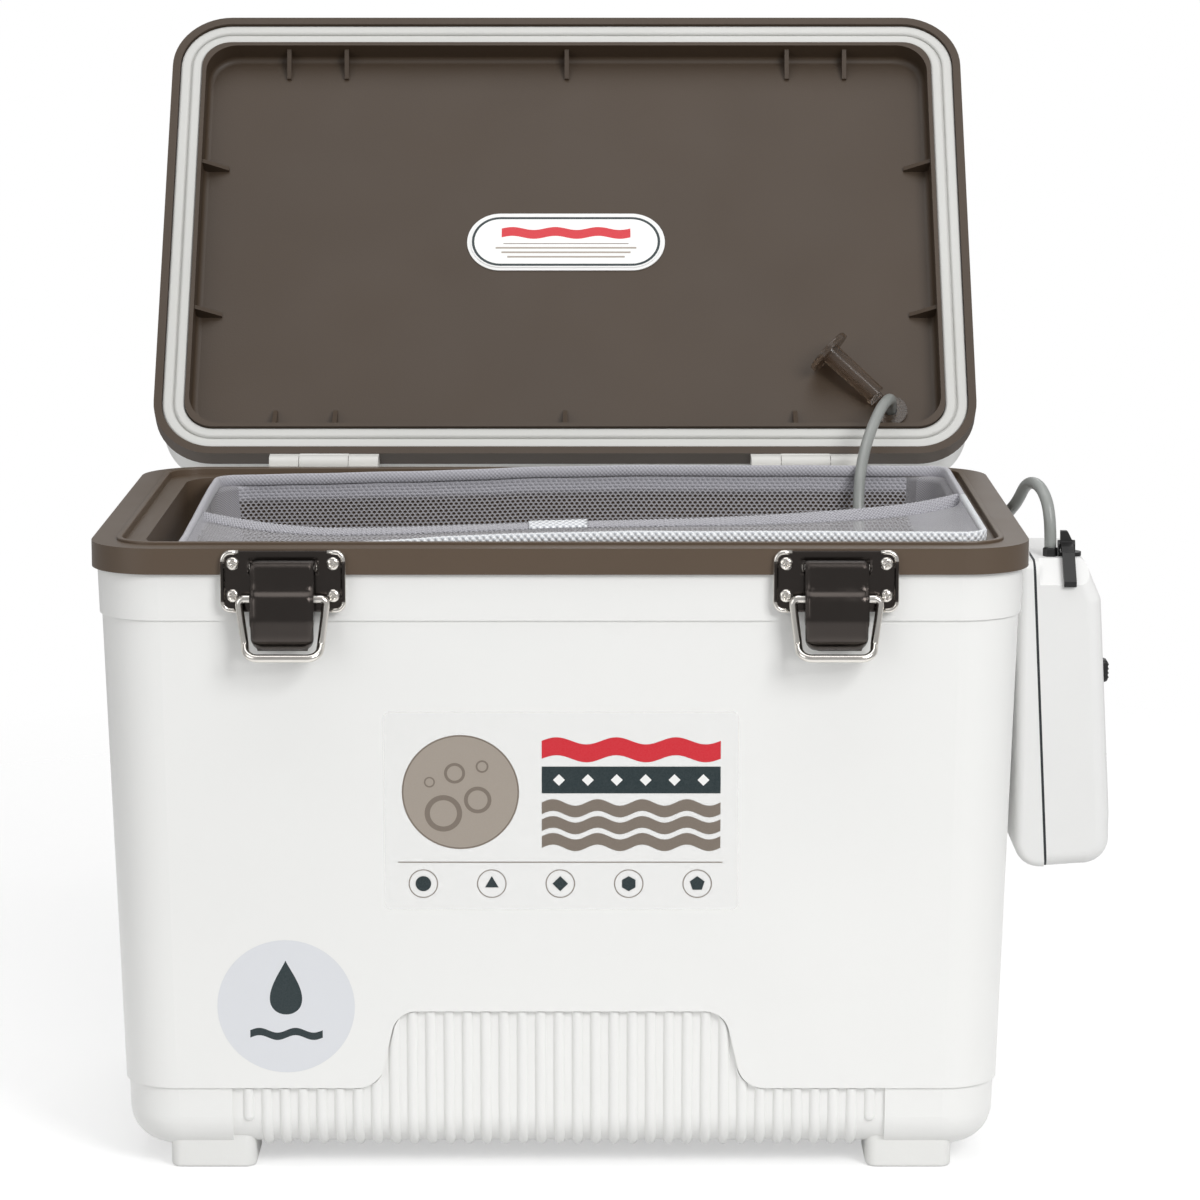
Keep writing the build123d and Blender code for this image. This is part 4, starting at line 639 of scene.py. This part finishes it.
def bag():
    """The mesh bag: it hangs from the hem in soft upright folds, turns in over the floor and is sewn shut."""
    rows = []
    ring = net_ring()
    falls = (
        0, 0.004, 0.012, 0.022, 0.034, 0.048, 0.065, 0.085, 0.11, 0.14,
        0.18, 0.23, 0.3, 0.38, 0.48, 0.6, 0.72, 0.83, 0.9, 0.94,
    )
    for index, fall in enumerate(falls):
        drop = 240 * fall
        z = 281 - drop
        narrow = 0.6 + drop * 0.0384 if index else 0
        sides = (NET_LEFT + narrow, NET_RIGHT - narrow, NET_FRONT + narrow, NET_BACK - narrow)
        if index:
            inner = liner_at(z, 1.0)
            sides = tuple(pick(a, b) for pick, a, b in zip((max, min, max, min), sides, inner))
        row = []
        loop = ring if not index else outline(*sides, 20)
        middle = ((sides[0] + sides[1]) / 2, (sides[2] + sides[3]) / 2)
        for x, y in loop:
            foot = hem_top(x, y) - HEM + 0.6
            high = NET_FLOOR + (foot - NET_FLOOR) * (1 - fall)
            fold = min(1, max(0, drop - 6) / 40)
            pull = fold * (1.7 + 2.0 * noise.noise(Vector((x / 42, y / 42, drop / 170))))
            pull += fold * 0.5 * noise.noise(Vector((x / 13, y / 13, drop / 60)))
            off = Vector((middle[0] - x, middle[1] - y))
            if abs(off.x) > sides[1] - middle[0] - 12:
                x += pull * (1 if off.x > 0 else -1)
            if abs(off.y) > sides[3] - middle[1] - 12:
                y += pull * (1 if off.y > 0 else -1)
            row.append((x, y, high))
        rows.append(row)
    last = rows[-1]
    middle = (sum(p[0] for p in last) / len(last), sum(p[1] for p in last) / len(last))
    for inset, rise in ((4, 7), (10, 2.4), (18, 0.5), (45, 0), (75, 0)):
        half = (FLOOR_HALF[0] - inset, FLOOR_HALF[1] - inset)
        loop = rounded(*half, 12, 64, 38, 6)
        rows.append([(x + middle[0] + 6, y + middle[1], NET_FLOOR + rise) for x, y in loop])
    points = [p for row in rows for p in row]
    faces = grid_faces(len(rows), len(ring), closed=True)
    end = len(points)
    points.append((middle[0] + 6, middle[1], NET_FLOOR))
    start_of_last = (len(rows) - 1) * len(ring)
    faces += [(start_of_last + c, start_of_last + (c + 1) % len(ring), end) for c in range(len(ring))]
    faces = [tuple(reversed(face)) for face in faces]
    depths = [0.0]
    for above, below in zip(rows, rows[1:]):
        depths.append(depths[-1] + (Vector(above[100]) - Vector(below[100])).length)
    lay = []
    for r, row in enumerate(rows):
        for x, y, _ in row:
            lay.append((x if abs(x) < 170 and abs(y) > 60 else y + 900, 240 - depths[r]))
    lay.append((0, -160))
    mesh = mesh_of("net_bag", points, faces, lay=lay)
    made = finish("net_mesh_bag", mesh, (net_wall, gauze), "net", "net_bag")
    for face in mesh.polygons:
        x = face.center.x * 1000 + MIDDLE.x
        face.material_index = 1 if x > 168 or x < -157 else 0
    return made


def ribbon(line, acrosses, ups, half_width, half_thick, ripple=0.0):
    """A closed band of cloth along a line, from its own across and up directions at each point."""
    lower = [(-1, -0.5), (-0.8, -1), (0, -1), (0.8, -1), (1, -0.5)]
    section = lower + [(a, -b) for a, b in reversed(lower)]
    around = girth([(a * half_width, b * half_thick) for a, b in section])
    points, lay = [], []
    gone = 0.0
    for index, (point, across, up) in enumerate(zip(line, acrosses, ups)):
        gone += (Vector(point) - Vector(line[index - 1])).length if index else 0
        for k, (a, b) in enumerate(section):
            lift = ripple * sin(tau * gone / 2.3) * (0.5 + 0.5 * abs(a)) if b > 0 else 0
            points.append(tuple(Vector(point) + across * a * half_width + up * (b * half_thick + lift)))
            lay.append((gone, around[k]))
    return points, lay, len(section)


def hem():
    """The woven binding over the hoop's wire, stood on edge round the net's mouth."""
    ring = net_ring(0.8)
    count = len(ring)
    line = [(x, y, hem_top(x, y) - HEM / 2) for x, y in ring]
    outs = []
    for index in range(count):
        ahead = Vector(ring[(index + 1) % count]) - Vector(ring[index - 1])
        outs.append(Vector((ahead.y, -ahead.x, 0)).normalized())
    ups = [Vector((0, 0, 1))] * count
    points, lay, sides = ribbon(line, ups, outs, HEM / 2, 1.35)
    points += points[:sides]
    lay += [(girth(ring)[-1], v) for _, v in lay[:sides]]
    faces = [tuple(reversed(face)) for face in grid_faces(count + 1, sides, closed=True)]
    mesh = mesh_of("net_hem", points, faces, lay=lay)
    wire = [place(p) for p in line] + [place(line[0]), place(line[1])]
    finish("net_wire_hoop", tube(wire, 0.0009, 10), bright_stainless, "net", "net_hoop")
    made = finish("net_binding", mesh, (binding, shaded_binding), "net", "net_hem")
    # The hem's back and left take the greyer copy of the binding as painted shade.
    for face in mesh.polygons:
        middle = face.center * 1000 + MIDDLE
        face.material_index = 1 if middle.y > 5 or middle.x < -160 else 0
    return made


def band_line(steps):
    """Evenly spaced points along the cover's elastic edge, with the edge's own across and up directions."""
    smooth = [p * 1000 + MIDDLE for p in hose_line("band", band_route)]
    reach = [0.0]
    for a, b in zip(smooth, smooth[1:]):
        reach.append(reach[-1] + (b - a).length)
    line, acrosses, ups = [], [], []
    k = 0
    for index in range(steps + 1):
        goal = reach[-1] * index / steps
        while k < len(reach) - 2 and reach[k + 1] < goal:
            k += 1
        share = (goal - reach[k]) / max(reach[k + 1] - reach[k], 1e-6)
        point = smooth[k].lerp(smooth[k + 1], share)
        along = (smooth[k + 1] - smooth[k]).normalized()
        back = Vector((0, 0, 1)).cross(along).normalized()
        lean = radians(between(band_leans, point.x))
        across = back * cos(lean) + along.cross(-back) * -sin(lean)
        line.append(point)
        acrosses.append(across)
        ups.append(along.cross(across))
    return line, acrosses, ups


def band():
    """The cover's gathered elastic edge."""
    line, acrosses, ups = band_line(1100)
    points, lay, sides = ribbon(line, acrosses, ups, BAND / 2, 0.75, 0.3)
    faces = grid_faces(len(line), sides, closed=True)
    faces += [tuple(range(sides)), tuple(reversed(range(len(points) - sides, len(points))))]
    mesh = mesh_of("net_band", points, [tuple(reversed(face)) for face in faces], lay=lay)
    return finish("net_elastic_edge", mesh, elastic_webbing, "net", "net_elastic")


def tab():
    """The small white loop that is folded over the elastic edge, to lift it by."""
    line, acrosses, ups = band_line(1100)
    chosen = [i for i, p in enumerate(line) if -15 <= p.x <= 13][::6]
    raised = [line[i] + ups[i] * 0.25 for i in chosen]
    points, lay, sides = ribbon(
        raised, [acrosses[i] for i in chosen], [ups[i] for i in chosen], BAND / 2 + 0.7, 1.25
    )
    faces = grid_faces(len(chosen), sides, closed=True)
    faces += [tuple(range(sides)), tuple(reversed(range(len(points) - sides, len(points))))]
    mesh = mesh_of("net_tab", points, [tuple(reversed(face)) for face in faces], lay=lay)
    return finish("net_lifting_tab", mesh, binding, "net", "net_tab")


def cover():
    """The net's half lid: mesh from the front of the hem back to the elastic edge, slack between the two."""
    ring = net_ring(2.6)
    count = len(ring)
    first = max((i for i in range(count) if ring[i][0] < -100 and ring[i][1] > 8), key=lambda i: -ring[i][1])
    last = max((i for i in range(count) if ring[i][0] > 100 and ring[i][1] < 12), key=lambda i: ring[i][1])
    walk = [ring[i % count] for i in range(first, last + count + 1)]
    gone = girth(walk)[: len(walk)]
    columns, rows = 260, 22
    edge, acrosses, _ = band_line(columns)
    points, lay = [], []
    for row in range(rows + 1):
        share = row / rows
        for column in range(columns + 1):
            goal = gone[-1] * column / columns
            k = max(0, min(len(gone) - 2, next((i for i, g in enumerate(gone) if g > goal), len(gone)) - 1))
            part = (goal - gone[k]) / max(gone[k + 1] - gone[k], 1e-6)
            x, y = (walk[k][n] + (walk[k + 1][n] - walk[k][n]) * part for n in (0, 1))
            start_point = Vector((x, y, hem_top(x, y) - 1.6))
            end_point = edge[column] - acrosses[column] * (BAND / 2 - 0.8)
            point = start_point.lerp(end_point, share)
            length = (end_point - start_point).length
            slack = sin(pi * share) * min(1, length / 60)
            point.z -= slack * (3.2 + 1.6 * noise.noise(Vector((point.x / 40, point.y / 40, 5))))
            point.z += slack * 0.5 * noise.noise(Vector((point.x / 11, point.y / 30, 1)))
            points.append(tuple(point))
            lay.append((point.x, point.y))
    mesh = mesh_of("net_cover", points, grid_faces(rows + 1, columns + 1), lay=lay)
    made = finish("net_mesh_cover", mesh, (net_roof, gauze), "net", "net_cover")
    for face in mesh.polygons:
        x = face.center.x * 1000 + MIDDLE.x
        face.material_index = 1 if x > 158 or x < -163 else 0
    return made


net_bag, net_hem, net_band, net_tab, net_cover = bag(), hem(), band(), tab(), cover()

# ---------------------------------------------------------------- printed films
def ink(name, colour, roughness=0.42):
    """Screen ink on polyester film: flat colour a little uneven in the print, under a soft gloss."""
    made, tree, shader = start(name, colour, roughness)
    dots = spread(tree, speckle(tree, 0.7, 3), 0.985, 1.0)
    tree.links.new(two_tone(tree, dots, "#FFFFFF", colour), shader.inputs["Base Color"])
    relief(tree, shader, speckle(tree, 1.0, 2), 0.01)
    return made


def clear_film():
    """Clear polyester film: it shows only as a faint sheen and a slightly milky tone over the plastic."""
    made, tree, shader = start("polyester_film_clear", "#FFFFFF", 0.12)
    shader.inputs["Alpha"].default_value = 0.28
    relief(tree, shader, speckle(tree, 14, 2), 0.03)
    return made


def ring_of(x, z, radius, steps=64):
    """A circle's points."""
    return [(x + radius * cos(tau * k / steps), z + radius * sin(tau * k / steps)) for k in range(steps)]


def box_of(left, right, low, high, corner=0.0):
    """A rectangle's points, with rounded corners where they are given a radius."""
    if not corner:
        return [(left, low), (right, low), (right, high), (left, high)]
    middle = ((left + right) / 2, (low + high) / 2)
    loop = rounded((right - left) / 2, (high - low) / 2, corner, 1, 1, 10)
    return [(x + middle[0], z + middle[1]) for x, z in loop]


def wave(left, right, low, height, swing, length, steps=48):
    """A wavy stripe's points."""
    across = [left + (right - left) * k / steps for k in range(steps + 1)]
    under = [(x, low + swing * sin(tau * (x - left) / length)) for x in across]
    return under + [(x, z + height) for x, z in reversed(under)]


def drop(x, z, size):
    """A water drop's points, its tip upward."""
    points = []
    for k in range(64):
        angle = tau * k / 64
        points.append((x + size * 0.5 * sin(angle) * sin(angle / 2) ** 1.4, z + size * 0.62 * cos(angle)))
    return points


def polygon(x, z, radius, sides, turn=0.0):
    """A regular polygon's points."""
    angles = [radians(turn) + tau * k / sides for k in range(sides)]
    return [(x + radius * cos(angle), z + radius * sin(angle)) for angle in angles]


def printed(name, shapes, inks, surface, body):
    """One film and its print: shapes are (points, second loop or None, ink number), each a hair over the last."""
    points, faces, numbers = [], [], []
    for level, (loop, hole, number) in enumerate(shapes):
        lift = 0.06 + 0.006 * level
        first = len(points)
        points += [surface(a, b, lift) for a, b in loop]
        if hole:
            points += [surface(a, b, lift) for a, b in hole]
            count = len(loop)
            for k in range(count):
                m = (k + 1) % count
                faces.append((first + k, first + m, first + count + m, first + count + k))
                numbers.append(number)
        else:
            faces.append(tuple(range(first, first + len(loop))))
            numbers.append(number)
    mesh = mesh_of(name, points, faces)
    made = finish(name, mesh, inks, body, smooth=False)
    for face, number in zip(mesh.polygons, numbers):
        face.material_index = number
    return made


def surface_of(node_name):
    """A node's surface, ready for rays."""
    return BVHTree.FromObject(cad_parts[node_name], bpy.context.evaluated_depsgraph_get())


def hit(surface, x, z):
    """Where the front of a surface stands at a place, in the tub's own frame."""
    return surface.ray_cast(place((x, -400, z)), Vector((0, 1, 0)))[0] * 1000 + MIDDLE


front_wall = surface_of("outer_shell")
low_spot, high_spot = hit(front_wall, 0, 100), hit(front_wall, 0, 220)
wall_lean = (high_spot.y - low_spot.y) / (high_spot.z - low_spot.z)


def on_wall(x, z, lift):
    """A point of the tub's smooth front wall, lifted off it."""
    return x, low_spot.y + (z - low_spot.z) * wall_lean - lift, z


red_ink = ink("screen_ink_red", "#D1202E")
dark_ink = ink("screen_ink_blue_black", "#12262A")
taupe_ink = ink("screen_ink_taupe", "#7A6F64")
pale_taupe_ink = ink("screen_ink_pale_taupe", "#A2988D")
white_ink = ink("screen_ink_white", "#F3F3F1")
grey_ink = ink("screen_ink_grey", "#DFE1E5")
label_inks = (clear_film(), red_ink, dark_ink, taupe_ink, pale_taupe_ink, white_ink, grey_ink)

label = [(box_of(-77, 78, 120.5, 209.5, 3), None, 0)]
label += [(ring_of(-43.5, 173.5, 25.6), None, 3), (ring_of(-43.5, 173.5, 24.9), None, 4)]
for x, z, size in ((-51, 164, 8.2), (-36, 170, 6.0), (-46, 182, 4.6), (-34, 185, 2.8), (-57, 178, 2.4)):
    label.append((ring_of(x, z, size), ring_of(x, z, size * 0.72), 3))
label.append((wave(-8, 70, 188.5, 8.0, 1.6, 26), None, 1))
label.append((box_of(-8, 70, 173, 185), None, 2))
for k in range(6):
    label.append((polygon(-0.5 + 12.6 * k, 179, 2.6, 4), None, 5))
for k in range(3):
    label.append((wave(-8, 70, 148.5 + 7.6 * k, 5.2, 1.5, 19.5), None, 3))
label.append((box_of(-71, 71, 141.8, 142.2), None, 3))
for k, sides in enumerate((64, 3, 4, 6, 5)):
    x = -60 + 30 * k
    label.append((ring_of(x, 132.3, 6.4), ring_of(x, 132.3, 6.05), 3))
    label.append((polygon(x, 132.3, 3.4, sides, 90), None, 2))
printed("front_label", label, label_inks, on_wall, "tub")

sticker = [(ring_of(-121, 76.3, 30.3), None, 6)]
sticker += [(drop(-121, 85, 20), None, 2), (wave(-137, -105, 62, 3.4, 1.1, 16), None, 2)]
printed("round_sticker", sticker, label_inks, on_wall, "tub")


def on_badge(x, y, lift):
    """A point of the badge's face on the open lid, lifted off it."""
    return on_lid((x, -y, PAN_FLOOR - 1.0 - lift))


badge = [(box_of(-48.2, 48.2, -14.7, 14.7, 14.6), None, 2), (box_of(-46.9, 46.9, -13.4, 13.4, 13.3), None, 5)]
badge += [(wave(-33, 33, 2.4, 5.4, 0.9, 22), None, 1), (box_of(-32, 32, -1.6, -1.1), None, 3)]
for k in range(3):
    badge.append((box_of(-36 + 3 * k, 36 - 3 * k, -4.4 - 2.7 * k, -3.4 - 2.7 * k), None, 4))
printed("lid_badge_print", badge, label_inks, on_badge, "lid")


# ---------------------------------------------------------------- screws
def screw_model():
    """One pan-head screw with a cross recess, its head up Z, in metres."""
    radius, height, steps = 2.8, 1.7, 44
    made = bmesh.new()
    grid = []
    for i in range(steps + 1):
        row = []
        for j in range(steps + 1):
            u, v = 2 * i / steps - 1, 2 * j / steps - 1
            x, y = radius * u * (1 - v * v / 2) ** 0.5, radius * v * (1 - u * u / 2) ** 0.5
            reach = min(1.0, hypot(x, y) / radius)
            z = height * (0.45 + 0.55 * (1 - reach**3.2))
            arm = min(abs(x), abs(y))
            length = max(abs(x), abs(y))
            cut = max(0.0, min(1.0, (0.48 - arm) / 0.16)) * max(0.0, min(1.0, (1.75 - length) / 0.3))
            cut = max(cut, max(0.0, min(1.0, (0.95 - hypot(x, y)) / 0.3)))
            row.append(made.verts.new((x / 1000, y / 1000, (z - 1.1 * cut) / 1000)))
        grid.append(row)
    for i in range(steps):
        for j in range(steps):
            made.faces.new((grid[i][j], grid[i + 1][j], grid[i + 1][j + 1], grid[i][j + 1]))
    rim = [e for e in made.edges if e.is_boundary]
    skirt = bmesh.ops.extrude_edge_only(made, edges=rim)["geom"]
    for vert in (g for g in skirt if isinstance(g, bmesh.types.BMVert)):
        vert.co.z = 0
    bmesh.ops.create_cone(
        made, cap_ends=True, segments=20, radius1=0.0010, radius2=0.0015, depth=0.0075,
        matrix=Matrix.Translation((0, 0, -0.00375)),
    )
    mesh = mesh_from("screw", made)
    mesh.shade_smooth()
    return bpy.data.objects.new("screw", mesh)


def screw_rows():
    """Geometry nodes that set one screw on each point, along the point's own direction and turned at random."""
    group = bpy.data.node_groups.new("screws_at_points", "GeometryNodeTree")
    sockets = (("Points", "Geometry"), ("Screw", "Object"), ("Seed", "Int"), ("Finish", "Material"))
    for name, kind in sockets:
        group.interface.new_socket(name, in_out="INPUT", socket_type="NodeSocket" + kind)
    group.interface.new_socket("Screws", in_out="OUTPUT", socket_type="NodeSocketGeometry")
    given = node(group, "NodeGroupInput").outputs
    model = node(group, "GeometryNodeObjectInfo", links={"Object": given["Screw"]}).outputs["Geometry"]
    way = node(group, "GeometryNodeInputNamedAttribute", {"Name": "way"}, data_type="FLOAT_VECTOR")
    aimed = node(group, "FunctionNodeAlignRotationToVector", links={"Vector": way.outputs["Attribute"]}, axis="Z")
    chance = node(group, "FunctionNodeRandomValue", {2: 0.0, 3: tau}, {"Seed": given["Seed"]}, data_type="FLOAT")
    angle = next(o for o in chance.outputs if o.enabled)
    spin = node(group, "ShaderNodeCombineXYZ", links={"Z": angle}).outputs[0]
    turned = node(group, "FunctionNodeEulerToRotation", links={0: spin}).outputs[0]
    turns = {"Rotation": aimed.outputs[0], "Rotate By": turned}
    both = node(group, "FunctionNodeRotateRotation", links=turns, rotation_space="LOCAL").outputs[0]
    where = {"Points": given["Points"], "Instance": model, "Rotation": both}
    placed = node(group, "GeometryNodeInstanceOnPoints", links=where)
    real = node(group, "GeometryNodeRealizeInstances", links={0: placed.outputs[0]})
    coat = {"Geometry": real.outputs[0], "Material": given["Finish"]}
    coated = node(group, "GeometryNodeSetMaterial", links=coat)
    node(group, "NodeGroupOutput", links={"Screws": coated.outputs[0]})
    return group


def drive_in(name, spots, seed, body, stands_for):
    """Sets screws at (point, direction) spots and files them as one piece."""
    mesh = bpy.data.meshes.new(name)
    mesh.from_pydata([place(point) for point, _ in spots], [], [])
    ways = mesh.attributes.new("way", "FLOAT_VECTOR", "POINT")
    for datum, (_, direction) in zip(ways.data, spots):
        datum.vector = direction
    points = bpy.data.objects.new(name, mesh)
    scene.collection.objects.link(points)
    modifier = points.modifiers.new("screws", "NODES")
    modifier.node_group = rows_of_screws
    given = {item.name: item.identifier for item in rows_of_screws.interface.items_tree if item.in_out == "INPUT"}
    modifier[given["Screw"]] = screw
    modifier[given["Seed"]] = seed
    modifier[given["Finish"]] = bright_stainless
    bpy.context.view_layer.update()
    ready = bpy.data.meshes.new_from_object(points.evaluated_get(bpy.context.evaluated_depsgraph_get()))
    bpy.data.objects.remove(points)
    return finish(name, ready, (), body, stands_for)


SCREW_SIDE, SCREW_HIGH, SCREW_LOW = 21.6, 6.3, 20.3  # across from the middle, and down from the collar's top
PLATE, LEAF, LEAF_RISE = 1.2, 2.5, 15.5
screw = screw_model()
rows_of_screws = screw_rows()
forward, backward = Vector((0, -1, 0)), Vector((0, 1, 0))
tub_spots = []
for side in (-1, 1):
    for x in (-SCREW_SIDE, SCREW_SIDE):
        for drop_by in (SCREW_HIGH, SCREW_LOW):
            tub_spots.append(((side * LATCH_SIDE + x, -HALF_DEPTH - PLATE, COLLAR_TOP - drop_by), forward))
lid_spots = []
turn = LID_SWING.to_3x3()
for side in (-1, 1):
    for x in (-SCREW_SIDE, 0, SCREW_SIDE):
        tub_spots.append(((side * HINGE_SIDE + x, HALF_DEPTH + LEAF, COLLAR_TOP - SCREW_LOW), backward))
        on_leaf = on_lid((side * HINGE_SIDE + x, HALF_DEPTH + LEAF, LID_FOOT + LEAF_RISE))
        lid_spots.append((on_leaf, turn @ backward))
drive_in("tub_cross_screws", tub_spots, 4, "tub", "tub_screws")
drive_in("lid_cross_screws", lid_spots, 9, "lid", "lid_screws")


# ---------------------------------------------------------------- latch edges, pin ends and lever skins
PIN_Y, PIN_Z = -136.6, 274.8
PIN_REACH, PIN_RADIUS, PIN_DOME = 14.9, 1.5, 0.2  # half the pin's straight length, its radius and each end's dome


def plate_edge(side, which):
    """The rolled edge down one side of a latch's plate, round both of its corners. Its bright steel, against the
    plate's painted dark, is a painted highlight along the curl.
    """
    x, top, low, radius = which * 26.1, 280.5, 255.3, 3.6
    path = [(x - which * 7, top)]
    for k in range(9):
        angle = radians(90 - 90 * k / 8)
        path.append((x - which * (radius - radius * cos(angle)), top - radius + radius * sin(angle)))
    for k in range(9):
        angle = radians(-90 * k / 8)
        path.append((x - which * (radius - radius * cos(angle)), low + radius + radius * sin(angle)))
    path.append((x - which * 7, low))
    return tube([place((side * LATCH_SIDE + a, -HALF_DEPTH - 1.25, b)) for a, b in path], 0.00105, 14)


def rivet(x, y, z, radius, length):
    """A domed pin end along X, from x by a length."""
    made = bmesh.new()
    rings = []
    for along, wide in ((0.0, 1.0), (0.55, 1.0), (0.8, 0.86), (0.95, 0.55), (1.0, 0.12)):
        loop = ring_of(y, z, radius * wide, 24)
        rings.append([made.verts.new(place((x + length * along, a, b))) for a, b in loop])
    skin_over(made, rings)
    return mesh_from("rivet", made)


def lever_shell(surface, middle):
    """The lever's pressed outer skin, over its CAD front: rolled sides and rounded lower corners."""
    top, tip, lowest_ray, rows, columns = 276.6, 238.4, 240.2, 64, 36
    heights = [top + (tip - top) * r / rows for r in range(rows + 1)]
    fronts = [hit(surface, middle, max(z, lowest_ray)).y - 0.3 for z in heights]
    for _ in range(3):
        smoothed = [(a + 2 * b + c) / 4 for a, b, c in zip(fronts, fronts[1:], fronts[2:])]
        fronts = [fronts[0], *smoothed, fronts[-1]]
    points = []
    for thick in (0.0, 0.9):
        for r, z in enumerate(heights):
            near_tip = max(0.0, 1 - (z - tip) / 6.0)
            half = 13.9 - 0.4 * r / rows - 5.0 * (1 - (1 - near_tip**2) ** 0.5) - thick * 0.5
            lower = 2.4 * (1 - (1 - max(0.0, 1 - (z - tip) / 3.0) ** 2) ** 0.5)
            for c in range(columns + 1):
                u = sin(pi / 2 * (2 * c / columns - 1))
                past = max(0.0, (abs(u) * half - (half - 2.6)) / 2.6)
                rolled = 2.6 * (1 - (1 - min(1.0, past) ** 2) ** 0.5)
                points.append((middle + u * half, fronts[r] + rolled + lower + thick, z))
    across = columns + 1
    count = (rows + 1) * across
    front = grid_faces(rows + 1, across)
    faces = front + [tuple(reversed([i + count for i in face])) for face in front]
    rim = list(range(across)) + [r * across + columns for r in range(1, rows + 1)]
    rim += [rows * across + c for c in range(columns - 1, -1, -1)] + [r * across for r in range(rows - 1, 0, -1)]
    for a, b in zip(rim, rim[1:] + rim[:1]):
        faces.append((b, a, a + count, b + count))
    return mesh_of("lever_shell", points, faces)


for side, word in ((-1, "left"), (1, "right")):
    lever = f"latch_lever_{word}"
    skin = lever_shell(surface_of(lever), side * LATCH_SIDE)
    finish(f"{lever}_skin", skin, pressed_stainless_painted_dark_reflection, f"lever_{word}")
    for which in (-1, 1):
        edge = "outer" if which == side else "inner"
        # The plate's own rolled edges take bright steel as a painted highlight.
        finish(f"latch_{word}_{edge}_edge", plate_edge(side, which), bright_stainless, "tub")
        head = rivet(side * LATCH_SIDE + which * PIN_REACH, PIN_Y, PIN_Z, PIN_RADIUS, which * PIN_DOME)
        finish(f"latch_{word}_{edge}_pin_end", head, bright_stainless, "tub")


# ---------------------------------------------------------------- switch
SWITCH_Z = 204.6


def thumb_piece():
    """The switch's ribbed thumb piece, standing proud of the case's right side."""
    made = bmesh.new()
    rows = []
    for x, grow in ((246.5, 0.0), (251.6, 0.0), (252.6, -0.35), (253.1, -1.1)):
        loop = rounded(4.4 + grow, 5.2 + grow, 1.6 + grow * 0.5, 6, 6, 6)
        rows.append([made.verts.new(place((x, a, SWITCH_Z + b))) for a, b in loop])
    skin_over(made, rows)
    for step in (-3.0, -1.0, 1.0, 3.0):
        bar = bmesh.ops.create_cube(made, size=1.0)["verts"]
        rib = Matrix.Diagonal((0.0007, 0.0060, 0.0007, 1))
        shape = Matrix.Translation(place((253.1, 0, SWITCH_Z + step))) @ rib
        bmesh.ops.transform(made, matrix=shape, verts=bar)
    return mesh_from("thumb_piece", made)


finish("switch_thumb_piece", thumb_piece(), black_nylon, "switch", smooth=False)

# ---------------------------------------------------------------- finishes of the model's own pieces
finishes = {
    "outer_shell": white_polypropylene,
    "lid_shell": white_polypropylene,
    "tub_liner": taupe_polypropylene,
    "lid_pan": taupe_textured,
    "tub_foam": foam_yellow,
    "lid_foam": foam_yellow,
    "lid_gasket": pale_silicone,
    "lid_badge": white_abs,
    "port_grommet": soft_smoke,
    "port_plug": soft_smoke,
    "pump_front_case": white_abs,
    "pump_back_case": white_abs,
    "pump_bracket": white_abs,
    "case_seal": dark_rubber,
    "speed_switch": black_nylon,
    "circuit_board": board_green,
    "battery_cells": jacket,
    "battery_contacts": plated_steel,
    "pump_motor": plated_steel,
    "motor_crank": acetal,
    "pump_yoke": acetal,
    "diaphragm": dark_rubber,
    "valve_head": acetal,
    "outlet_nut": black_nylon,
    "clip_base": black_nylon,
    "case_clip": black_nylon,
    "hose_through": airline,
    "airstone": grit,
}
paired = {
    "foot_front": pale_rubber,
    "foot_back": pale_rubber,
    "hinge_tub_leaf": white_nylon,
    "hinge_lid_leaf": white_nylon,
    "hinge_pin": bright_stainless,
    "latch_plate": stainless_painted_dark_reflection,
    "latch_pin": bright_stainless,
    "latch_lever": pressed_stainless_painted_dark_reflection,
    "latch_bail": bright_stainless,
}
finishes |= {f"{name}_{side}": material for name, material in paired.items() for side in ("left", "right")}
for name, material in finishes.items():
    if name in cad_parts:
        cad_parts[name].data.materials.clear()
        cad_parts[name].data.materials.append(material)
